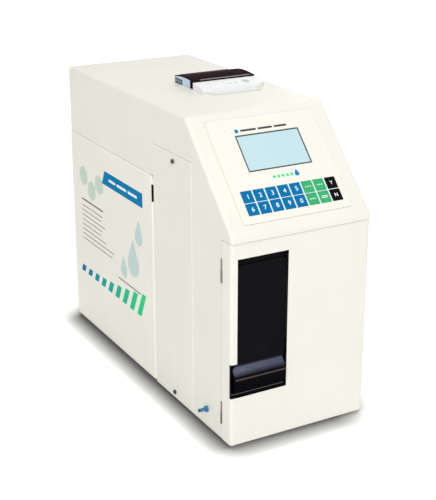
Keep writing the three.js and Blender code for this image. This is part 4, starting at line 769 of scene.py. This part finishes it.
legend_size = 6.9 * mm
letter_size = 5.6 * mm
legend_weight = 0.08 * mm
legend_shift = 0.5 * mm
for key in blue_keys:
    digit = letters(key[-1], legend_size, relief, legend_weight)
    piece(f"legend_{key[-1]}", digit, "legend", key, Face(key, slope_view).at(du=legend_shift))
for key, letter in zip(black_keys, "YN"):
    raised = letters(letter, letter_size, relief, legend_weight)
    piece(f"legend_{letter}", raised, "legend", key, Face(key, slope_view).at())

sign_pitch = 2.6 * mm
sign_radius = 0.7 * mm
triangle_tip, triangle_rear, triangle_half = 0.9 * mm, -0.7 * mm, 0.95 * mm
cross_arm, cross_half = 0.95 * mm, 0.28 * mm
dash_size, dash_radius, dash_level = (7.4 * mm, 0.8 * mm), 0.3 * mm, 0.85 * mm


def triangle(du):
    return [(du + triangle_tip, 0), (du + triangle_rear, triangle_half), (du + triangle_rear, -triangle_half)]


def cross(du):
    """A plus sign, from the three corners of one arm turned by quarters."""
    a, h = cross_arm, cross_half
    corners = []
    for cosine, sine in ((1, 0), (0, 1), (-1, 0), (0, -1)):
        corners += [(du + u * cosine - v * sine, u * sine + v * cosine) for u, v in ((a, -h), (a, h), (h, h))]
    return corners


steps = (-sign_pitch, 0, sign_pitch)
signs = {
    "key_function_a": [disc(sign_radius, (du, 0), 20) for du in steps],
    "key_function_b": [triangle(du) for du in steps],
    "key_function_c": [cross(du) for du in steps],
    "key_function_d": [rounded(*dash_size, dash_radius, (0, dv)) for dv in (dash_level, -dash_level)],
}
for key, outlines in signs.items():
    piece(f"sign_{key[-1]}", plates(outlines, relief), "legend", key, Face(key, slope_view).at())

# Console print: a dot and bars above the display, dots and a drop below it

window = Face("display_window", slope_view)
panel_top = Face("console_panel", slope_view).top
title_lift = 6.4 * mm
title_bars = (18.5 * mm, 17.0 * mm, 15.0 * mm)
title_gap = 2.2 * mm
title_height = 2.3 * mm
title_corner = 0.5 * mm
title_dot_radius = 2.3 * mm
logo_share = 0.62  # of the window's width, where the last dot is
logo_lift = -10.6 * mm
dot_count = 5
dot_pitch = 5.2 * mm
dot_radius = 1.7 * mm
drop_radius = 2.6 * mm
drop_place = (6.2 * mm, -0.3 * mm)


def on_console(share_u, share_v, lift):
    """A frame on the console's film, at a share of the window's width and height and a lift above it."""
    return window.at(share_u, share_v, 0, lift, panel_top - window.top)


title_place = on_console(0, 1, title_lift)
title_start = 2 * title_dot_radius + title_gap
title = row_of_bars(title_start, title_bars, title_gap, title_height, title_corner)
title_dot = disc(title_dot_radius, (title_dot_radius, 0))
piece("console_bars", plates(title, ink), "ink", "case", title_place)
piece("console_dot", plates([title_dot], ink), "dot", "case", title_place)

logo_place = on_console(logo_share, 0, logo_lift)
dots = [disc(dot_radius, (-i * dot_pitch, 0), 24) for i in range(dot_count)]
piece("console_dots", plates(dots, ink), "leaf", "case", logo_place)
piece("console_drop", plates([drop(drop_radius, drop_place)], ink), "dot", "case", logo_place)

# Reagent pack: a label film with plain printed shapes, whose places are in mm from its lower rear corner

pack_face = Face("reagent_pack", left_view)
pack_front, pack_rear = -pack_face.u[1], -pack_face.u[0]
print_reach = (pack_front + 18 * mm, pack_rear - 22 * mm)
looks["print"] = gradient("label_print", label_green, label_blue, print_reach)
looks["pale"] = gradient("label_pale", (206, 226, 226), (212, 228, 210), (pack_front, pack_rear))
film_size = (196 * mm, 176 * mm)
film_corner = 3 * mm
film_foot = (12 * mm, 56 * mm)
printed = ink + 0.02 * mm


def on_label(outlines, thickness, lift):
    """Plates on the label, from outlines in its own place."""
    mesh = plates(outlines, thickness)
    mesh.transform(pack_face.at(0, 0, *film_foot, lift))
    return mesh


film = rounded(*film_size, film_corner, (film_size[0] / 2, film_size[1] / 2))
piece("label_film", on_label([film], ink, 0), "label_film", "pack")

header_left, header_right, header_foot, header_top = 78, 188, 142, 159
header_slant = 8
header = ((header_left, header_foot), (header_right, header_foot), (header_right, header_top),
          (header_left + header_slant, header_top))
header = [(u * mm, v * mm) for u, v in header]
bar_lengths = (18 * mm, 26 * mm, 24 * mm)
bars_start = 98 * mm
bars_gap = 4 * mm
bars_height = 3.2 * mm
bars_corner = 1 * mm
bars_level = (header_foot + header_top) / 2 * mm
bars = row_of_bars(bars_start, bar_lengths, bars_gap, bars_height, bars_corner, bars_level)
piece("label_header", on_label([header], ink, printed), "dot", "pack")
piece("label_header_bars", on_label(bars, ink, printed + ink), "legend", "pack")

block_count = 9
block_start, block_end, block_foot = 4, 192, 8
block_pitch = 20.4
block_gap = 2.4
block_height = 9
block_growth = 0.33  # of the height, for each step squared
block_lean = 7.0  # sideways, for each lean_height of the height
lean_height = 14
blocks = []
for i in range(block_count):
    left = block_start + i * block_pitch
    wide = block_pitch - block_gap - block_lean
    tall = block_height + block_growth * i * i
    lean = block_lean * tall / lean_height
    corners = ((left, 0), (left + wide, 0), (left + wide + lean, tall), (left + lean, tall))
    blocks.append([(min(u, block_end) * mm, (block_foot + v) * mm) for u, v in corners])
piece("label_blocks", on_label(blocks, ink, printed), "print", "pack")

cell_radius = 13 * mm
cell_places = ((22, 137), (45.4, 123.5), (68.8, 137))
cells = [hexagon(cell_radius, (u * mm, v * mm)) for u, v in cell_places]
bead_sizes = {(160, 66): 15, (134, 50): 9, (176, 104): 10}
beads = [drop(radius * mm, (u * mm, v * mm)) for (u, v), radius in bead_sizes.items()]
piece("label_shapes", on_label(cells + beads, ink / 2, printed), "pale", "pack")

heading = {"left": 14, "level": 106, "length": 64, "height": 1.7, "corner": 0.4}
footing = {"left": 118, "level": 36, "length": 60, "height": 1.2, "corner": 0.3}
line_count = 8
line_top, line_pitch = 98, 6.2
line_lengths = (52, 96)  # shortest and longest
line_form = {"left": 14, "height": 0.8, "corner": 0.25}


def label_line(left, level, length, height, corner):
    return rounded(length * mm, height * mm, corner * mm, ((left + length / 2) * mm, level * mm))


rng = random.Random(4)
rules = [label_line(**heading)]
for i in range(line_count):
    rules.append(label_line(level=line_top - line_pitch * i, length=rng.uniform(*line_lengths), **line_form))
rules.append(label_line(**footing))
piece("label_rules", on_label(rules, ink, printed + ink / 2), "ink", "pack")

# Printer: tear bar on the lid's front edge

lid_low, lid_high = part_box("printer_lid")
bar_span = (lid_low[0] + 9 * mm, lid_high[0] - 6.7 * mm)
stop_gap, stop_length = 0.2 * mm, 3 * mm
stop_span = (bar_span[1] + stop_gap, bar_span[1] + stop_gap + stop_length)
bar_front = lid_low[1] + 0.25 * mm
bar_depth = 3.2 * mm
bar_layers = (0.02 * mm, 0.35 * mm)  # its foot and top above the lid
tooth_pitch = 1.1 * mm
tooth_depth = 0.6 * mm


def tear_bar(span, teeth=True):
    """A thin plate on the lid's front edge, with or without teeth."""
    count = 2 * round((span[1] - span[0]) / tooth_pitch)
    heights = {}
    for row in (0, tooth_depth, bar_depth):
        heights[row] = top_of("printer_lid", span[0], bar_front + row)[0].z
    bm = bmesh.new()
    rows = []
    for layer in bar_layers:
        for row in ("front", "rear"):
            points = []
            for i in range(count + 1):
                x = span[0] + (span[1] - span[0]) * i / count
                step = (tooth_depth if teeth and i % 2 else 0) if row == "front" else bar_depth
                points.append(bm.verts.new((x, bar_front + step, heights[step] + layer)))
            rows.append(points)
    low_front, low_rear, high_front, high_rear = rows
    sides = ((low_front, low_rear), (high_front, high_rear), (low_front, high_front), (low_rear, high_rear))
    for first, second in sides:
        for i in range(count):
            bm.faces.new([first[i], first[i + 1], second[i + 1], second[i]])
    for i in (0, count):
        bm.faces.new([low_front[i], low_rear[i], high_rear[i], high_front[i]])
    return finished(bm)


piece("tear_bar", tear_bar(bar_span), "bar", "lid")
piece("tear_bar_stop", tear_bar(stop_span, teeth=False), "recess", "lid")

# Printer: two lamps on the apron

lamp_places = ((29.95 * mm, -8.9 * mm), (38.05 * mm, -7.6 * mm))
lens_points = ((0, 0), (1.5, 0), (1.5, 0.12), (1.3, 0.3), (0.7, 0.42), (0, 0.45))  # radius and height, in mm
lens_profile = [(radius * mm, height * mm) for radius, height in lens_points]
for i, place in enumerate(lamp_places):
    spot, normal = top_of("printer_body", *place)
    lamp_frame = basis(spot, (right, normal.cross(right).normalized()))
    piece(f"printer_lamp_{i}", turned(lens_profile, 20), "lamp", "case", lamp_frame)

# Printer: dark floors, borders and bars round the recesses of the end cap

cap_low, cap_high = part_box("printer_end_cap")
vent_count = 3
vent_pitch, vent_width, vent_height, vent_depth = 5.6 * mm, 4.4 * mm, 3.2 * mm, 1.4 * mm
vent_margin = 1.6 * mm
vent_corner = 0.2 * mm
floor_gap, floor_thickness, floor_sink = 0.1 * mm, 0.15 * mm, 0.02 * mm
surround = 0.8 * mm
surround_foot = cap_low[2] + 0.15 * mm
vent_foot = cap_low[2] + vent_margin
vent_head = vent_foot + vent_height
vent_starts = [vent_margin - cap_high[1] + i * vent_pitch for i in range(vent_count)]
vent_row = (vent_starts[0], vent_starts[-1] + vent_width)
outer_row = (vent_row[0] - surround, vent_row[1] + surround)


def on_cap(inset=0.0):
    """A frame on the end cap's left side, or as far inside it as the inset."""
    return basis(Vector((cap_low[0] + inset, 0, 0)), left_view)


floors = []
for start in vent_starts:
    middle = (start + vent_width / 2, vent_foot + vent_height / 2)
    floors.append(rounded(vent_width - floor_gap, vent_height, vent_corner, middle))
strips = [
    rectangle(*outer_row, surround_foot, vent_foot),
    rectangle(*outer_row, vent_head, vent_head + surround),
    rectangle(outer_row[0], vent_row[0], vent_foot, vent_head),
    rectangle(vent_row[1], outer_row[1], vent_foot, vent_head),
]
bars = [rectangle(start + vent_width, start + vent_pitch, vent_foot, vent_head) for start in vent_starts[:-1]]
piece("end_cap_floors", plates(floors, floor_thickness), "recess", "case", on_cap(vent_depth - floor_sink))
piece("end_cap_surround", plates(strips, ink), "recess", "case", on_cap())
piece("end_cap_bars", plates(bars, ink), "rim", "case", on_cap())

# Rear: screws of the connector plate, and the pins of its socket

plate_inset = 6 * mm
head_radius = 2.2 * mm
head_height = 1.1 * mm
head_edge = 0.12 * mm
head_slot = 0.616 * mm
head_floor = 0.495 * mm  # height of the slot's floor
pin_radius = 0.5 * mm
pin_height = 0.5 * mm
pin_edge = 0.1 * mm
pin_pitch = 2.77 * mm
pin_columns = ((-1.4 * mm, 5), (1.4 * mm, 4))


def slotted():
    """A screw head: a disc with two raised halves beside its slot."""
    half = math.asin(head_slot / 2 / head_radius)
    halves = [disc(head_radius, (0, 0), 14, start + half, start + math.pi - half) for start in (0, math.pi)]
    bm = bmesh.new()
    for mesh in (plates(halves, head_height, head_edge), plates([disc(head_radius, (0, 0), 28)], head_floor)):
        bm.from_mesh(mesh)
        bpy.data.meshes.remove(mesh)
    return finished(bm)


plate_face = Face("connector_plate", rear_view)
for i, (u, v) in enumerate(((0, 0), (1, 0), (1, 1), (0, 1))):
    du, dv = plate_inset * (1 - 2 * u), plate_inset * (1 - 2 * v)
    piece(f"plate_screw_{i}", slotted(), "screw", "case", plate_face.at(u, v, du, dv))

pins = []
for column, count in pin_columns:
    for i in range(count):
        pins.append(disc(pin_radius, (column, (i - (count - 1) / 2) * pin_pitch), 12))
socket_place = Face("main_board", rear_view).at()
piece("socket_pins", plates(pins, pin_height, pin_edge), "gold", "case", socket_place)

# Door: a black lining on the walls of its window

door_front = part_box("front_door")[0][1]
lining = 0.15 * mm
lining_depth = (0.25 * mm, 1.95 * mm)
seen_from = Vector((-40.75 * mm, door_front + 1 * mm, 170 * mm))  # a place inside the window
window_x = [hit("front_door", seen_from, (way, 0, 0))[0].x for way in (-1, 1)]
window_z = [hit("front_door", seen_from, (0, 0, way))[0].z for way in (-1, 1)]
inner_x = window_x[1] - lining
walls = {
    "right": (inner_x, window_x[1], *window_z),
    "top": (window_x[0], inner_x, window_z[1] - lining, window_z[1]),
    "foot": (window_x[0], inner_x, window_z[0], window_z[0] + lining),
}
lining_frame = basis(Vector((0, door_front + lining_depth[1], 0)), front_view)
for wall, ends in walls.items():
    lined = plates([rectangle(*ends)], lining_depth[1] - lining_depth[0])
    piece(f"window_lining_{wall}", lined, "recess", "door", lining_frame)

# Floor, world and lamps


def two_shaders(graph, kind, values, target):
    """Mixes two shaders of a kind, the second for rays that the camera, a mirror or glass sends."""
    path = graph.add("ShaderNodeLightPath").outputs
    white = path["Is Camera Ray"]
    for name in ("Is Glossy Ray", "Is Transmission Ray"):
        white = graph.math("MAXIMUM", white, path[name])
    lit, shown = [graph.add(kind, sockets) for sockets in values]
    mixer = graph.add("ShaderNodeMixShader", {0: white, 1: lit.outputs[0], 2: shown.outputs[0]})
    graph.feed(target, mixer.outputs[0])
    return shown


def floor_look():
    """Paper whose colour holds a painted shadow: dark close to the part, less so before it and at its right
    end, and white far off.
    """
    material = bpy.data.materials.new("floor_paper_painted_shadow")
    material.use_nodes = True
    look = Nodes(material.node_tree)
    look.tree.nodes.remove(look.tree.nodes["Principled BSDF"])
    shades = [{"Color": (share, share, share, 1)} for share in (floor_albedo, floor_shown[0])]
    target = look.tree.nodes["Material Output"].inputs["Surface"]
    shown = two_shaders(look, "ShaderNodeBsdfDiffuse", shades, target)

    # Occlusion darkens the floor's colour: a painted contact shade
    occlusion = look.add("ShaderNodeAmbientOcclusion", {"Distance": contact_reach}, samples=16)
    open_share = occlusion.outputs["AO"]
    spot = look.add("ShaderNodeTexCoord").outputs["Object"]
    away = look.vector_math("LENGTH", spot)["Value"]
    shown_share = look.spread(away, *floor_shown, floor_near, floor_far)

    # Painted shadow: the colour darkens near the housing's footprint, and painted light is added under its
    # edges
    low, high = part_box("main_housing")
    low = Vector((low[0], door_front, 0))
    high = Vector((high[0] - shade_fade, high[1], 0))
    aside = look.vector_math("SUBTRACT", spot, (low + high) / 2)["Vector"]
    aside = look.vector_math("ABSOLUTE", aside)["Vector"]
    beyond = look.vector_math("SUBTRACT", aside, (high - low) / 2)["Vector"]
    outside = look.vector_math("MAXIMUM", beyond)["Vector"]
    distance = look.vector_math("LENGTH", outside)["Value"]

    sides = look.parts(beyond)
    under = look.spread(look.math("MAXIMUM", sides["X"], sides["Y"]), under_share, 0.0, -under_reach, 0.0)
    under = look.product(under, look.spread(open_share, 0.0, 1.0, *covered_from))
    before = look.spread(look.parts(spot)["Y"], 0.0, 1.0, low.y + front_turn, low.y)
    reach = look.spread(before, shade_reach, front_reach, 0.0, 1.0)
    dark = look.spread(before, shade_dark, front_dark, 0.0, 1.0)
    rim = look.spread(distance, dark, 1.0, 0.0, reach)
    rim = look.math("MAXIMUM", rim, look.spread(open_share, shade_dark, 1.0, *open_from))
    rim = look.math("ADD", rim, under)
    contact = look.spread(open_share, contact_dark, 1.0, *contact_from)
    look.feed(shown.inputs["Color"], look.grey(look.product(contact, shown_share, rim)))
    return material


floor_bm = bmesh.new()
bmesh.ops.create_grid(floor_bm, x_segments=4, y_segments=4, size=floor_size / 2)
floor_mesh = bpy.data.meshes.new("floor")
floor_bm.to_mesh(floor_mesh)
floor_bm.free()
floor_mesh.materials.append(floor_look())
floor = bpy.data.objects.new("floor", floor_mesh)
bpy.context.scene.collection.objects.link(floor)

world = bpy.data.worlds.new("world")
bpy.context.scene.world = world
world.use_nodes = True
sky = Nodes(world.node_tree)
sky.tree.nodes.remove(sky.tree.nodes["Background"])
backgrounds = [{"Color": (1, 1, 1, 1), "Strength": strength} for strength in (world_strength, 1.0)]
two_shaders(sky, "ShaderNodeBackground", backgrounds, sky.tree.nodes["World Output"].inputs["Surface"])

for name, lamp in lamps.items():
    data = bpy.data.lights.new(name, "AREA")
    data.size = lamp_size
    data.energy = lamp["level"] * (math.pi * lamp_distance) ** 2
    toward = Vector(lamp["toward"]).normalized()
    made = bpy.data.objects.new(name, data)
    made.location = Vector(lamps_aim) + toward * lamp_distance
    made.rotation_euler = toward.to_track_quat("Z", "Y").to_euler()
    bpy.context.scene.collection.objects.link(made)
